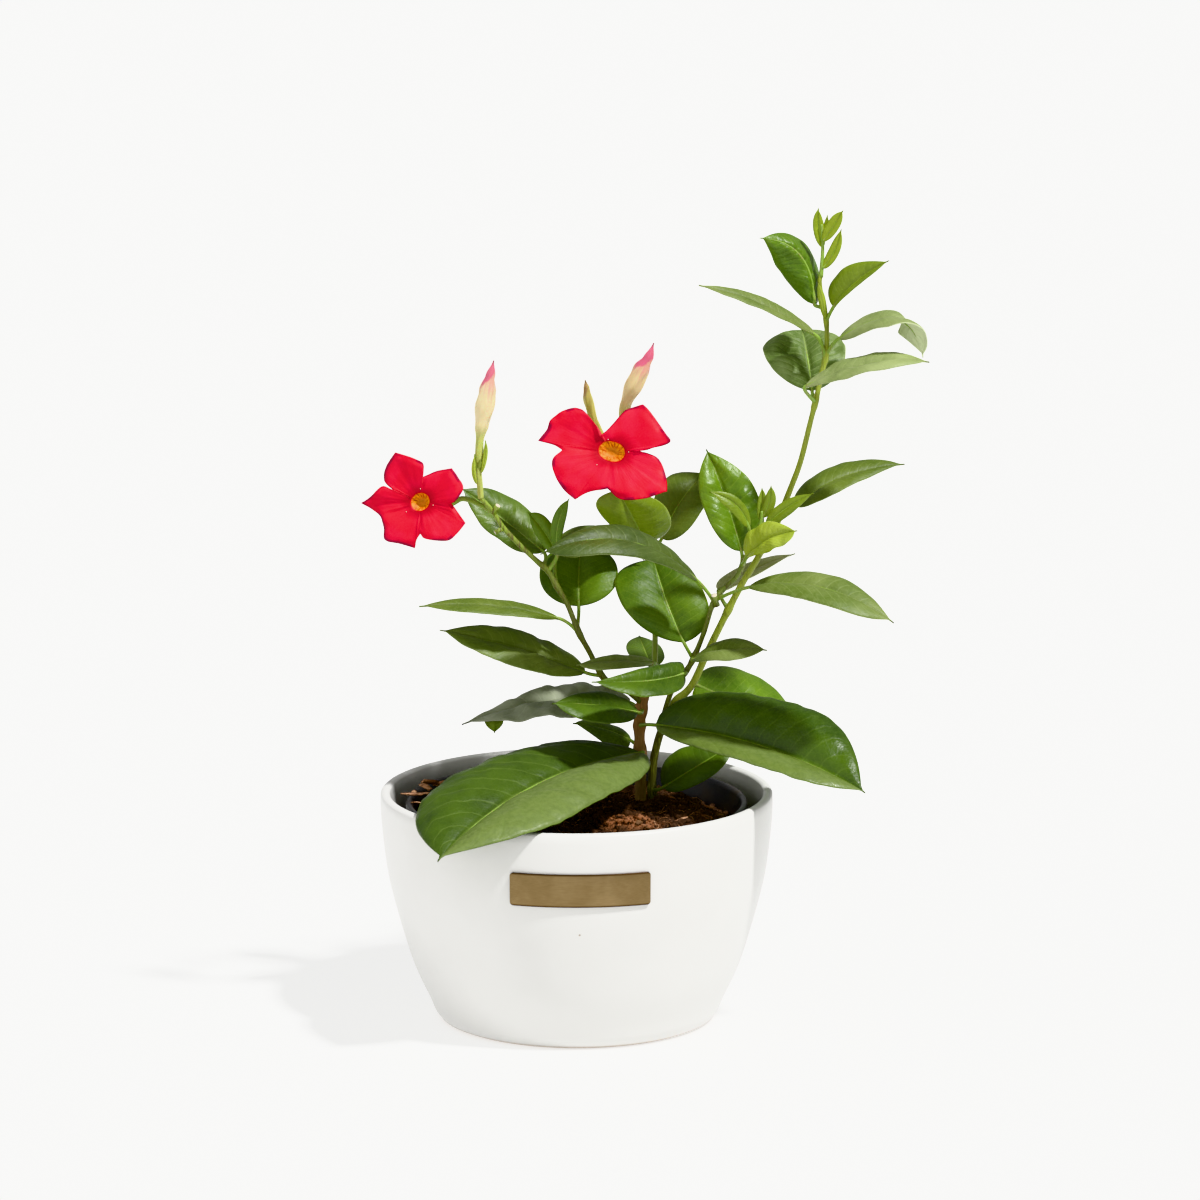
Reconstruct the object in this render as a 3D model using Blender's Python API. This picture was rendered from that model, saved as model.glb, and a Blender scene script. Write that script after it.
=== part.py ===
"""A mandevilla in a round white pot, each piece a closed solid at its real size.

The tables below are in millimetres. The origin is the middle of the pot's underside, +Z is up, and
-Y is the side that is seen first. Every leaf is a blade of even thickness with its own stalk, which
ends just short of the stem that bears it.
"""
import math

import bmesh
import bpy
from mathutils import Matrix, Vector, noise

MM = 0.001
GAP = 0.3

POT_HEIGHT = 106.0
POT_RIM_RADIUS = 90.0
POT_WALL = 4.6
POT_FOOT_RADIUS = 60.5
POT_FLOOR = 5.0
POT_STEPS = 44

NURSERY_RIM_RADIUS = 78.0
NURSERY_RIM_HEIGHT = 101.0
NURSERY_FOOT_RADIUS = 52.0
NURSERY_WALL = 1.4
NURSERY_LIP = 1.8

SOIL_HEIGHT = 95.5
SOIL_RELIEF = 1.6
SOIL_DISH = 6.0
SOIL_LEVEL_SHARE = 0.8
SOIL_CLEARANCE = 1.0
SOIL_STEPS = 36
SOIL_RINGS = (0.93, 0.8, 0.64, 0.48, 0.32, 0.16)

PLATE_LENGTH = 63.5
PLATE_WIDTH = 15.5
PLATE_THICKNESS = 1.0
PLATE_CENTRE = (2.0, 80.0)

BLADE_THICKNESS = 0.8
PETIOLE_WIDTH = 1.9
LEAF_BULGE = 0.14
PETIOLE_ROWS = (0.0, 0.35, 0.7)
STALK_BEND = 0.4
TIGHT_STALK_BEND = 0.1
BLADE_ROWS = (0.0, 0.035, 0.12, 0.27, 0.45, 0.63, 0.8, 0.93, 1.0)
LEAFLET_ROWS = (0.0, 0.15, 0.45, 0.8, 1.0)
BLADE_STRIPS = 4
LEAFLET_STRIPS = 2
BASE_ROUNDNESS = 2.2
TIP_FULLNESS = 2.0

PETAL_THICKNESS = 0.8
PETAL_RINGS = 4

# Base colour, roughness and metallic value of each finish.
LOOKS = {
    "glazed_white": ((0.86, 0.86, 0.84), 0.42, 0.0),
    "nursery_black": ((0.02, 0.02, 0.02), 0.4, 0.0),
    "potting_mix": ((0.055, 0.028, 0.016), 0.95, 0.0),
    "aged_brass": ((0.3, 0.22, 0.12), 0.38, 1.0),
    "bark_brown": ((0.19, 0.1, 0.05), 0.8, 0.0),
    "stem_green": ((0.16, 0.25, 0.05), 0.5, 0.0),
    "leaf_dark": ((0.035, 0.1, 0.02), 0.32, 0.0),
    "leaf_green": ((0.07, 0.18, 0.03), 0.36, 0.0),
    "leaf_pale": ((0.2, 0.36, 0.06), 0.42, 0.0),
    "petal_red": ((0.72, 0.005, 0.03), 0.5, 0.0),
    "throat_orange": ((0.75, 0.2, 0.01), 0.5, 0.0),
    "bud_cream": ((0.62, 0.58, 0.3), 0.5, 0.0),
}

# Route of each stem from its root or fork to its tip, with its first and last radius.
STEMS = {
    "trunk": ([(30, 24, 84), (30, 24, 114), (29, 22, 133), (32, 20, 146), (33, 20, 150)],
              2.7, 2.3, "bark_brown"),
    "vine": ([(35, 28, 84), (35, 28, 107), (37, 26, 121), (41, 23, 134), (45, 20, 142), (53, 18, 151),
              (61, 16, 169), (74, 14, 196), (83, 12, 212), (91, 10, 228), (98, 8, 246), (102, 6, 258),
              (106, 5, 275), (109, 4, 288), (111, 4, 298), (113, 4, 307), (113, 4, 321), (110, 4, 338),
              (110.4, 4, 343)], 2.2, 1.1, "stem_green"),
    "side_stem": ([(38, 25, 125), (40, 16, 137), (44, 8, 151), (52, 2, 164), (58, -4, 180),
                   (62, -8, 194), (67, -8, 201), (73, -8, 207), (76, -8, 214), (82, -8, 228)],
                  1.5, 1.1, "stem_green"),
    "left_stem": ([(31, 21, 141), (22, 14, 150), (14, 8, 155), (10, 4, 161), (6, 0, 170), (1, -3, 180),
                   (-4, -5, 193), (-9, -6, 202), (-13, -6, 209), (-18, -8, 214), (-26, -10, 222),
                   (-33, -12, 230), (-38, -14, 238), (-43, -15, 244)], 1.6, 1.2, "stem_green"),
    "middle_stem": ([(31, 21, 144), (35, 26, 152), (36, 27, 161), (36, 27, 189), (35, 25, 208),
                     (34, 22, 218), (32, 20, 230), (28, 18, 243), (24, 18, 251)],
                    1.4, 1.2, "stem_green"),
}
STEM_PARENTS = {"side_stem": "vine", "left_stem": "trunk", "middle_stem": "trunk"}
STEM_POINT_STEP = 10.0
FINE_STEP = 0.25
RIM_POINTS = 12
END_ROUNDING = 0.8
SOIL_HOLES = ("trunk", "vine")

# Each leaf: the stem that bears it and the height there, then the base, middle and tip of its
# midrib, its left and right margins beside the middle, as seen from the base with the upper face
# in view, the share of its length at which it is widest, and its finish.
LEAVES = {
    "leaf_low_front": ("trunk", 118, (30, 14, 120), (-21, -44, 117), (-61, -102, 97),
                       (5, -67, 113), (-53, -24, 121), 0.62, "leaf_dark"),
    "leaf_low_right": ("trunk", 131, (36, 5, 135), (85, -22, 131), (130, -50, 116),
                       (91, -4, 150), (79, -42, 127), 0.64, "leaf_dark"),
    "leaf_low_back_right": ("vine", 144, (55, 28, 149), (80, 42, 136), (105, 50, 123),
                            (82, 57, 148), (70, 36, 124), 0.45, "leaf_green"),
    "leaf_sucker": ("vine", 99, (40, 21, 102), (55, 16, 113), (73, 20, 123),
                    (47, 25, 119), (60, 8, 109), 0.45, "leaf_dark"),
    "leaf_low_back_left": ("trunk", 119, (25, 31, 122), (13, 38, 126), (-2, 42, 128),
                           (15, 30, 119), (12, 52, 126), 0.45, "leaf_green"),
    "leaf_left_grey": ("trunk", 138, (24, 27, 141), (-10, 22, 143), (-53, 12, 134),
                       (-7, 4, 139), (-4, 38, 146), 0.45, "leaf_green"),
    "leaf_front_small": ("trunk", 139, (28, 9, 140), (10, -7, 147), (-11, -22, 151),
                         (10, -21, 142), (11, 7, 150), 0.45, "leaf_dark"),
    "leaf_centre_flat": ("middle_stem", 157, (35, 15, 162), (18, -4, 167), (0, -18, 168),
                         (16, -13, 165), (21, 7, 167), 0.45, "leaf_green"),
    "leaf_centre_front": ("side_stem", 160, (49, -4, 161), (31, -20, 161), (7, -36, 164),
                          (34, -32, 156), (36, -6, 166), 0.4, "leaf_dark"),
    "leaf_left_big": ("left_stem", 158, (4, 3, 160), (-28, -4, 173), (-62, -12, 183),
                      (-31, -16, 168), (-25, 8, 178), 0.45, "leaf_green"),
    "leaf_left_narrow": ("left_stem", 179, (-8, -6, 187), (-38, -14, 194), (-71, -22, 196),
                         (-39, -25, 193), (-39, -2, 195), 0.45, "leaf_green"),
    "leaf_left_dark": ("left_stem", 182, (1, 7, 190), (1, 18, 203), (2, 34, 217),
                       (-17, 14, 205), (19, 14, 205), 0.45, "leaf_dark"),
    "leaf_left_arching": ("left_stem", 202, (-8, 4, 215), (10, 14, 221), (31, 12, 211),
                          (7, 24, 225), (10, 2, 216), 0.45, "leaf_green"),
    "leaf_big_arch": ("side_stem", 195, (55, -15, 206), (22, -38, 229), (-16, -50, 225),
                      (19, -52, 226), (25, -22, 230), 0.5, "leaf_green"),
    "leaf_centre_round": ("side_stem", 167, (49, -3, 175), (41, 3, 193), (35, 20, 211),
                          (18, 3, 197), (59, 3, 196), 0.5, "leaf_dark"),
    "leaf_centre_back": ("middle_stem", 153, (35, 34, 156), (32, 48, 160), (29, 66, 165),
                         (23, 50, 161), (40, 50, 161), 0.45, "leaf_green"),
    "leaf_middle_left": ("middle_stem", 214, (31, 13, 219), (25, 4, 233), (18, -6, 247),
                         (10, -2, 236), (42, 10, 233), 0.5, "leaf_pale"),
    "leaf_middle_right": ("middle_stem", 213, (39, 31, 217), (48, 36, 234), (60, 50, 245),
                          (39, 44, 241), (57, 30, 229), 0.5, "leaf_green"),
    "leaf_right_glossy": ("side_stem", 211, (75, -1, 217), (68, 6, 240), (59, 14, 262),
                          (57, 2, 239), (83, 4, 241), 0.45, "leaf_green"),
    "leaf_right_pale": ("side_stem", 212, (77, -16, 217), (86, -26, 227), (99, -36, 233),
                        (82, -18, 232), (90, -36, 226), 0.4, "leaf_pale"),
    "leaf_new_left": ("side_stem", 222, (78, -12, 230), (72, -14, 241), (60, -15, 247),
                      (69, -16, 239), (74, -13, 243), 0.45, "leaf_pale"),
    "leaf_new_right": ("side_stem", 223, (86, -13, 231), (94, -15, 239), (107, -18, 247),
                       (92, -12, 241), (95, -18, 236), 0.45, "leaf_pale"),
    "leaf_vine_low": ("vine", 229, (100, 20, 235), (123, 30, 246), (151, 38, 251),
                      (120, 42, 250), (122, 18, 242), 0.45, "leaf_green"),
    "leaf_right_arching": ("side_stem", 196, (77.8, -24, 204.9), (109.3, -42, 208.5), (141.8, -56, 195),
                           (111.2, -28, 211.5), (107.4, -56, 204.5), 0.5, "leaf_green"),
    "leaf_right_back": ("vine", 187, (65, 20, 195), (80, 34, 201), (101, 44, 208),
                        (77, 42, 203), (81, 26, 200), 0.4, "leaf_pale"),
    "leaf_right_low": ("side_stem", 168, (53, -7, 168), (67, -18, 175), (86, -28, 177),
                       (69, -6, 177), (66, -30, 173), 0.5, "leaf_green"),
    "leaf_top_folded": ("vine", 328, (107.6, 4, 329.4), (101.2, 4.5, 351.7), (82.4, -1, 360.4),
                        (89.7, 6.5, 347.5), (106.2, 14.5, 351), 0.45, "leaf_green"),
    "leaf_top_right": ("vine", 322, (116, 0, 329), (125, -8, 341), (140, -14, 352),
                       (119, 1, 345), (127.5, -12, 341.5), 0.4, "leaf_pale"),
    "leaf_top_long": ("vine", 305, (108, 1, 316), (83, -8, 331), (55, -14, 341),
                      (81, -18, 331.5), (86, 3, 331.5), 0.45, "leaf_green"),
    "leaf_top_curl": ("vine", 306, (118.6, 1, 314.4), (147.5, -11, 325.3), (156, -14, 308),
                      (150.5, 2.5, 325), (144.5, -23, 323.3), 0.5, "leaf_green"),
    "leaf_upper_long": ("vine", 285, (103, -10, 294), (130, -20, 306), (158, -26, 308),
                        (131, -6, 308), (129, -32, 304), 0.45, "leaf_green"),
    "leaf_upper_round": ("vine", 284, (107, 10, 289), (105, 18, 304), (103, 36, 314),
                         (85, 18, 306), (122.5, 18, 307), 0.56, "leaf_dark"),
    "leaf_left_upper": ("left_stem", 211, (-15, 3, 216), (-32, 9, 229), (-53, 9, 245),
                        (-38, 1, 224), (-24, 17, 235), 0.5, "leaf_green"),
}

# Leaves that twist: how far the left margin rises from base to tip, in degrees.
TWISTS = {"leaf_low_front": 15, "leaf_low_right": -25, "leaf_top_curl": -80}

# Leaflets of the three growing tips, each fused to a short length of stem: the stem that bears it,
# if it grows from its side, the route of that short stem and its radius, then the base, middle, tip
# and both margins of each leaflet.
SHOOTS = {
    "shoot_left": ("left_stem", [(-13, -6, 209), (-9, -5, 215), (-9, -5, 221), (-8, -5, 226)], 1.1, [
        ((-9, -5, 217), (-15, -2, 227), (-22, 0, 235), (-18, -3, 224), (-12, -1, 231)),
        ((-9, -6, 219), (-8, -9, 232), (-3, -9, 243), (-11, -9, 233), (-5, -8, 232))]),
    "shoot_right": (None, [(82.2, -8, 228.5), (83.4, -8, 231.6), (84, -8, 237)], 1.1, [
        ((83, -8, 233), (84, -6, 240), (84, -4, 247), (82, -6, 240), (86, -7, 241)),
        ((84, -8, 234), (87, -9, 241), (88, -9, 249), (85, -8, 242), (90, -9, 240))]),
    "shoot_top": (None, [(110.5, 4, 343.5), (111, 4, 352), (111, 4, 359), (110.5, 4, 366)], 1.0, [
        ((111, 4, 355.3), (109.2, 5, 364.5), (109, 5, 373.2), (106.6, 5.5, 364.5), (111.8, 4.5, 364.5)),
        ((111, 3, 358.3), (116, 1, 366), (119.7, -1, 372.8), (113.7, 2, 368), (118, -1, 364.6)),
        ((111, 3.2, 346), (116.3, 1.5, 354.5), (119.1, 0, 364.4), (114.3, 2.5, 356), (118.2, 0.5, 353)),
        ((111, 4.5, 357), (112.6, 5.5, 363.5), (113, 5.5, 370), (111.2, 6, 364), (114, 5, 363))]),
}

SHOOT_POINT_STEP = 5.0

# Buds: the stem that bears each, the height at which its stalk leaves it, and the radius at each
# point from the bud's tip down its stalk.
BUDS = {
    "bud_left": ("left_stem", 244, [
        ((-37, -16, 307), 0.3), ((-38.5, -16, 300), 2.2), ((-40, -16, 293), 4.0),
        ((-41, -16, 286), 4.6), ((-42.5, -16, 278), 3.4), ((-43.3, -16, 271), 2.0),
        ((-43.8, -16, 263), 2.6), ((-44, -16, 256), 1.6)]),
    "bud_right": ("middle_stem", 251, [
        ((35, 4, 312), 0.3), ((32.5, 4, 305), 2.2), ((29, 5, 299), 3.8), ((26, 6, 292), 4.0),
        ((22.5, 8, 284), 2.6), ((21, 11, 275), 1.7), ((21.5, 14, 266), 2.2), ((23.2, 17, 256), 1.3)]),
    "bud_middle": ("middle_stem", 246.5, [
        ((4, 4, 295), 0.3), ((4.6, 4.5, 291), 1.4), ((5.5, 5.5, 285), 2.2), ((8, 7.5, 276), 1.8),
        ((12, 11, 267), 1.5), ((16, 14.5, 259), 1.3), ((18.6, 17, 253), 1.2)]),
}

# Flowers: the middle of the throat, the way the flower looks, the throat's radius and length, and
# the outline of each lobe from notch to notch, anticlockwise as the flower is looked at, in
# millimetres to the right of the throat's middle and above it. The stalk runs from the throat's end
# to the stem, which it meets at a given height.
FLOWERS = {
    "flower_right": {
        "throat": (16, -18, 266), "facing": (-0.1, -0.94, 0.3), "mouth": 5.4, "tube": 26.0,
        "lobes": [
            [(12.3, 0), (17.6, 1), (26.4, 4.1), (24.3, 8.2), (17.1, 17.9), (13.4, 21.2), (5.9, 18.9),
             (0.8, 13.3), (-1.9, 10)],
            [(-5.3, 6.6), (-7.9, 12.2), (-14, 18.4), (-20.6, 18.6), (-27.7, 14.1), (-29.8, 9.2),
             (-33.4, 4.1), (-26.5, 2.4)],
            [(-22.3, 0), (-26.4, -4.6), (-25.7, -10.2), (-21.6, -17.4), (-15.8, -21.6), (-10, -18.8),
             (-3, -17.6)],
            [(-1.2, -17.3), (4.9, -21.9), (14.6, -21.2), (25.5, -17.6), (25, -11.5), (21.7, -3.6),
             (16.5, -0.6)]],
        "stem": "middle_stem", "height": 248, "stalk": [(20.3, 10, 255.6), (21.6, 13, 253)]},
    "flower_left": {
        "throat": (-70, -30, 245), "facing": (-0.27, -0.94, 0.17), "mouth": 4.4, "tube": 21.0,
        "lobes": [
            [(15, 0), (18, 1.7), (20.8, 6.8), (18.6, 11.2), (14.4, 15.4), (7.8, 14.4), (3.3, 12.4)],
            [(1.4, 11.4), (1.9, 16), (1.2, 17.6), (-5.4, 19.8), (-11, 21.2), (-15.6, 14.6),
             (-15.9, 8.8)],
            [(-12, 4.3), (-17, 6.3), (-21.6, 2.2), (-26.7, -1.9), (-22.6, -4.4), (-18.4, -7)],
            [(-17.1, -8.6), (-15.8, -12.5), (-14.8, -17.8), (-8, -19.3), (-1.6, -20.3),
             (-0.4, -16.8)],
            [(1.2, -14.2), (4.3, -16.4), (13.9, -16.8), (18.2, -13.6), (21.2, -8.4), (19, -4.9)]],
        "stem": "left_stem", "height": 237.5,
        "stalk": [(-63.2, -7, 240.2), (-56.5, -8, 240.4), (-51.7, -9, 242.8), (-45.5, -12, 241.6)]},
}
PETAL_CUP = 2.4
PETAL_WAVE = 1.5
LOBE_STEPS = 8
THROAT_WALL = 0.8
THROAT_STEPS = 16
TUBE_END_RADIUS = 1.8
STALK_RADIUS = 1.3


def clear_scene():
    """Remove whatever the file started with."""
    for item in list(bpy.data.objects):
        bpy.data.objects.remove(item, do_unlink=True)


def look(name):
    """One Principled material for each finish in the table."""
    made = bpy.data.materials.get(name)
    if made:
        return made
    colour, roughness, metallic = LOOKS[name]
    made = bpy.data.materials.new(name)
    made.use_nodes = True
    shader = made.node_tree.nodes["Principled BSDF"]
    shader.inputs["Base Color"].default_value = (*colour, 1.0)
    shader.inputs["Roughness"].default_value = roughness
    shader.inputs["Metallic"].default_value = metallic
    return made


def mesh_object(name, work, finish):
    """Turn a bmesh in metres into a named, smooth-shaded object with its material."""
    data = bpy.data.meshes.new(name)
    work.to_mesh(data)
    work.free()
    data.materials.append(look(finish))
    data.shade_smooth()
    data.set_sharp_from_angle(angle=math.radians(40))
    item = bpy.data.objects.new(name, data)
    bpy.context.scene.collection.objects.link(item)
    return item


def metres(point):
    """A point of the tables, in metres."""
    return Vector(point) * MM


def smooth_path(points, step):
    """A Catmull-Rom curve through the points, as points about one step apart."""
    ring = [Vector(p) for p in points]
    ring = [2 * ring[0] - ring[1]] + ring + [2 * ring[-1] - ring[-2]]
    path = []
    for a, b, c, d in zip(ring, ring[1:], ring[2:], ring[3:]):
        parts = max(1, round((c - b).length / step))
        for i in range(parts):
            t = i / parts
            path.append(0.5 * (2 * b + (c - a) * t + (2 * a - 5 * b + 4 * c - d) * t * t
                               + (3 * b - 3 * c + d - a) * t ** 3))
    path.append(ring[-2])
    return path


def distance_to_path(point, path):
    """The shortest way from a point to a line of points."""
    best = math.inf
    for a, b in zip(path, path[1:]):
        along = b - a
        t = max(0.0, min(1.0, (point - a).dot(along) / along.length_squared))
        best = min(best, (point - a - along * t).length)
    return best


def stem_route(name):
    """The smoothed route of a stem, before its start is cut clear of its parent."""
    return smooth_path(STEMS[name][0], STEM_POINT_STEP)


def stem_at_height(name, height):
    """The point where a stem passes a height, and the stem's radius there."""
    route = stem_route(name)
    radius_start, radius_end = STEMS[name][1:3]
    for i, (a, b) in enumerate(zip(route, route[1:])):
        if a.z <= height <= b.z:
            t = (height - a.z) / (b.z - a.z)
            share = (i + t) / (len(route) - 1)
            return a.lerp(b, t), radius_start + (radius_end - radius_start) * share
    raise ValueError(f"{name} has no point {height} mm up")


def cut_clear(path, radius, parent):
    """Drop the start of a path, which lies in a stem, until a rod of that radius on it clears it."""
    axis = stem_route(parent)
    parent_radius = stem_at_height(parent, path[0][2])[1]
    end_direction = (axis[-1] - axis[-2]).normalized()
    axis[-1] = axis[-1] - end_direction * parent_radius * END_ROUNDING
    fine = smooth_path(path, FINE_STEP)
    for i, (a, b) in enumerate(zip(fine, fine[1:])):
        along = (b - a).normalized()
        side = along.orthogonal().normalized() * radius
        rim = [a + Matrix.Rotation(math.tau * k / RIM_POINTS, 3, along) @ side
               for k in range(RIM_POINTS)]
        if min(distance_to_path(p, axis) for p in rim + [a]) >= parent_radius + GAP:
            return fine[i:]
    return fine[-2:]


def rod(name, points, radii, finish, sides=6):
    """A closed tube along the points, with a radius in millimetres at each."""
    data = bpy.data.curves.new(name, "CURVE")
    data.dimensions = "3D"
    data.bevel_depth = MM
    data.bevel_resolution = sides // 2 - 2
    data.use_fill_caps = True
    spline = data.splines.new("POLY")
    spline.points.add(len(points) - 1)
    for knot, point, radius in zip(spline.points, points, radii):
        knot.co = (*metres(point), 1.0)
        knot.radius = radius
    data.materials.append(look(finish))
    item = bpy.data.objects.new(name, data)
    bpy.context.scene.collection.objects.link(item)
    return item


def thinned(path, step):
    """Every point of a fine path that is about one step on from the last one kept."""
    kept = [path[0]]
    for point in path[1:-1]:
        if (point - kept[-1]).length >= step and (path[-1] - point).length >= step * 0.6:
            kept.append(point)
    kept.append(path[-1])
    return kept


def stems():
    """The two rooted stems and the three that fork from them."""
    for name, (_, start, end, finish) in STEMS.items():
        path = stem_route(name)
        if name in STEM_PARENTS:
            path = thinned(cut_clear(path, start, STEM_PARENTS[name]), STEM_POINT_STEP)
        radii = [start + (end - start) * i / (len(path) - 1) for i in range(len(path))]
        rod(name, path, radii, finish, sides=8 if name in SOIL_HOLES else 6)


def turned(name, profile, steps, finish):
    """Turn a (radius, height) profile about Z. Its ends are on the axis, or it closes on itself."""
    work = bmesh.new()
    dots = [work.verts.new((radius * MM, 0.0, height * MM)) for radius, height in profile]
    lines = [work.edges.new(pair) for pair in zip(dots, dots[1:])]
    if profile[0][0] > 0:
        lines.append(work.edges.new((dots[-1], dots[0])))
    bmesh.ops.spin(work, geom=dots + lines, cent=(0, 0, 0), axis=(0, 0, 1), angle=math.tau,
                   steps=steps, use_merge=True)
    bmesh.ops.remove_doubles(work, verts=work.verts, dist=0.01 * MM)
    bmesh.ops.recalc_face_normals(work, faces=work.faces)
    return mesh_object(name, work, finish)


def pot_outer_profile():
    """The bowl's outside, from the edge of its flat foot up to just under the lip."""
    return [(POT_FOOT_RADIUS, 0.0), (64.0, 2.4), (67.4, 8.7), (75.2, 26.0), (81.6, 47.0),
            (86.7, 68.0), (89.4, 90.0), (POT_RIM_RADIUS, POT_HEIGHT - 1.6)]


def pot_radius(height):
    """The bowl's outer radius at a height."""
    profile = pot_outer_profile()
    for (r0, z0), (r1, z1) in zip(profile, profile[1:]):
        if z0 <= height <= z1:
            return r0 + (r1 - r0) * (height - z0) / (z1 - z0)
    return POT_RIM_RADIUS


def pot():
    """The white bowl-shaped pot: a flat foot, a rounded corner, curved walls and a soft lip."""
    outer = pot_outer_profile()
    inner = [(POT_RIM_RADIUS - POT_WALL, POT_HEIGHT - 1.6), (89.4 - POT_WALL, 90.0),
             (86.7 - POT_WALL, 68.0), (81.6 - POT_WALL, 47.0), (75.2 - POT_WALL, 26.0),
             (65.0 - POT_WALL, 9.5), (54.5, POT_FLOOR)]
    lip = [(POT_RIM_RADIUS - 1.2, POT_HEIGHT), (POT_RIM_RADIUS - POT_WALL + 1.2, POT_HEIGHT)]
    return turned("pot", [(0.0, 0.0)] + outer + lip + inner + [(0.0, POT_FLOOR)], POT_STEPS,
                  "glazed_white")


def nursery_pot():
    """The thin black plastic pot that stands inside, with its small turned-out lip."""
    floor = POT_FLOOR + GAP
    rim, foot, wall = NURSERY_RIM_RADIUS, NURSERY_FOOT_RADIUS, NURSERY_WALL
    lip = NURSERY_LIP
    profile = [(0.0, floor), (foot, floor), (rim - wall, NURSERY_RIM_HEIGHT - 5.0),
               (rim - wall + lip, NURSERY_RIM_HEIGHT - 4.6), (rim - wall + lip, NURSERY_RIM_HEIGHT),
               (rim - 2 * wall, NURSERY_RIM_HEIGHT), (foot - wall, floor + wall), (0.0, floor + wall)]
    return turned("nursery_pot", profile, POT_STEPS, "nursery_black")


def soil_relief(x, y, reach):
    """How far the crumbly top stands above its mean height. It slopes down towards the pot's wall."""
    lumps = noise.noise(Vector((x, y, 3.0)) * 0.09) + 0.5 * noise.noise(Vector((x, y, 7.0)) * 0.23)
    slope = SOIL_DISH * max(0.0, reach - SOIL_LEVEL_SHARE) / (1.0 - SOIL_LEVEL_SHARE)
    return SOIL_RELIEF * lumps * 2.0 * min(1.0, (1.0 - reach) * 6.0 + 0.25) - slope


def soil():
    """The potting mix: a plug that fills the nursery pot, with plain holes round the two stems."""
    base = POT_FLOOR + 2 * GAP + NURSERY_WALL
    slope = (NURSERY_RIM_RADIUS - NURSERY_FOOT_RADIUS - NURSERY_WALL) / (NURSERY_RIM_HEIGHT - base)
    foot = NURSERY_FOOT_RADIUS - NURSERY_WALL - 3 * GAP
    top = foot + slope * (SOIL_HEIGHT - SOIL_DISH - base) - SOIL_CLEARANCE
    profile = [(0.0, base), (foot, base), (top, SOIL_HEIGHT)]
    profile += [(top * share, SOIL_HEIGHT) for share in SOIL_RINGS] + [(0.0, SOIL_HEIGHT)]
    plug = turned("soil", profile, SOIL_STEPS, "potting_mix")
    for vertex in plug.data.vertices:
        x, y, z = vertex.co / MM
        if z > SOIL_HEIGHT - 0.1:
            vertex.co.z += soil_relief(x, y, math.hypot(x, y) / top) * MM
    for name in SOIL_HOLES:
        (x, y, z), radius = STEMS[name][0][0], STEMS[name][1]
        hole = bmesh.new()
        bmesh.ops.create_cone(hole, cap_ends=True, segments=12, radius1=(radius + 2 * GAP) * MM,
                              radius2=(radius + 2 * GAP) * MM, depth=40 * MM,
                              matrix=Matrix.Translation(metres((x, y, z + 20 - GAP))))
        cutter = mesh_object("cut_" + name, hole, "potting_mix")
        cutter.hide_render = True
        cutter.display_type = "WIRE"
        cut = plug.modifiers.new(name, "BOOLEAN")
        cut.operation = "DIFFERENCE"
        cut.solver = "EXACT"
        cut.object = cutter
    return plug


def plate():
    """The bare metal plate on the front, bent to the bowl's curve and lean."""
    work = bmesh.new()
    bmesh.ops.create_grid(work, x_segments=12, y_segments=2, size=1.0)
    middle_x, middle_z = PLATE_CENTRE
    for vertex in work.verts:
        height = middle_z + vertex.co.y * PLATE_WIDTH / 2
        radius = pot_radius(height) + GAP
        angle = (middle_x + vertex.co.x * PLATE_LENGTH / 2) / radius
        vertex.co = metres((radius * math.sin(angle), -radius * math.cos(angle), height))
    bmesh.ops.recalc_face_normals(work, faces=work.faces)
    sheet = mesh_object("plate", work, "aged_brass")
    wall = sheet.modifiers.new("thickness", "SOLIDIFY")
    wall.thickness = PLATE_THICKNESS * MM
    wall.offset = 1.0 if sheet.data.polygons[0].normal.y < 0 else -1.0
    return sheet


def blade_share(t, widest):
    """The blade's width at a share t of its length, as a share of its greatest width."""
    if t < widest:
        return (1.0 - (1.0 - t / widest) ** BASE_ROUNDNESS) ** (1.2 / BASE_ROUNDNESS)
    return 1.0 - ((t - widest) / (1.0 - widest)) ** TIP_FULLNESS


def midrib(base, middle, tip, t):
    """The point at a share t along the arc that passes through the three given points."""
    base, middle, tip = Vector(base), Vector(middle), Vector(tip)
    control = 2 * middle - (base + tip) / 2
    return base * (1 - t) ** 2 + control * 2 * t * (1 - t) + tip * t * t


def petiole_path(start, base, middle, tip):
    """The leaf stalk: from the stem, bending into the direction in which the midrib sets out."""
    start, base = Vector(start), Vector(base)
    onward = (midrib(base, middle, tip, 0.05) - base).normalized()
    ahead = onward.dot(base - start) > 0
    bend = base - onward * (base - start).length * (STALK_BEND if ahead else TIGHT_STALK_BEND)
    return [start * (1 - t) ** 2 + bend * 2 * t * (1 - t) + base * t * t
            for t in (0.0, 0.25, 0.5, 0.75, 1.0)]


def leaf_rows(stalk, base, middle, tip, widest):
    """The centre line and the share of the full width at each row of the leaf, stalk first."""
    rows = []
    if stalk:
        fine = smooth_path(stalk, 0.5)
        rows = [(fine[round(share * (len(fine) - 1))], 0.0) for share in PETIOLE_ROWS]
    blade = BLADE_ROWS if stalk else LEAFLET_ROWS
    return rows + [(midrib(base, middle, tip, t), blade_share(t, widest)) for t in blade]


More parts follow.
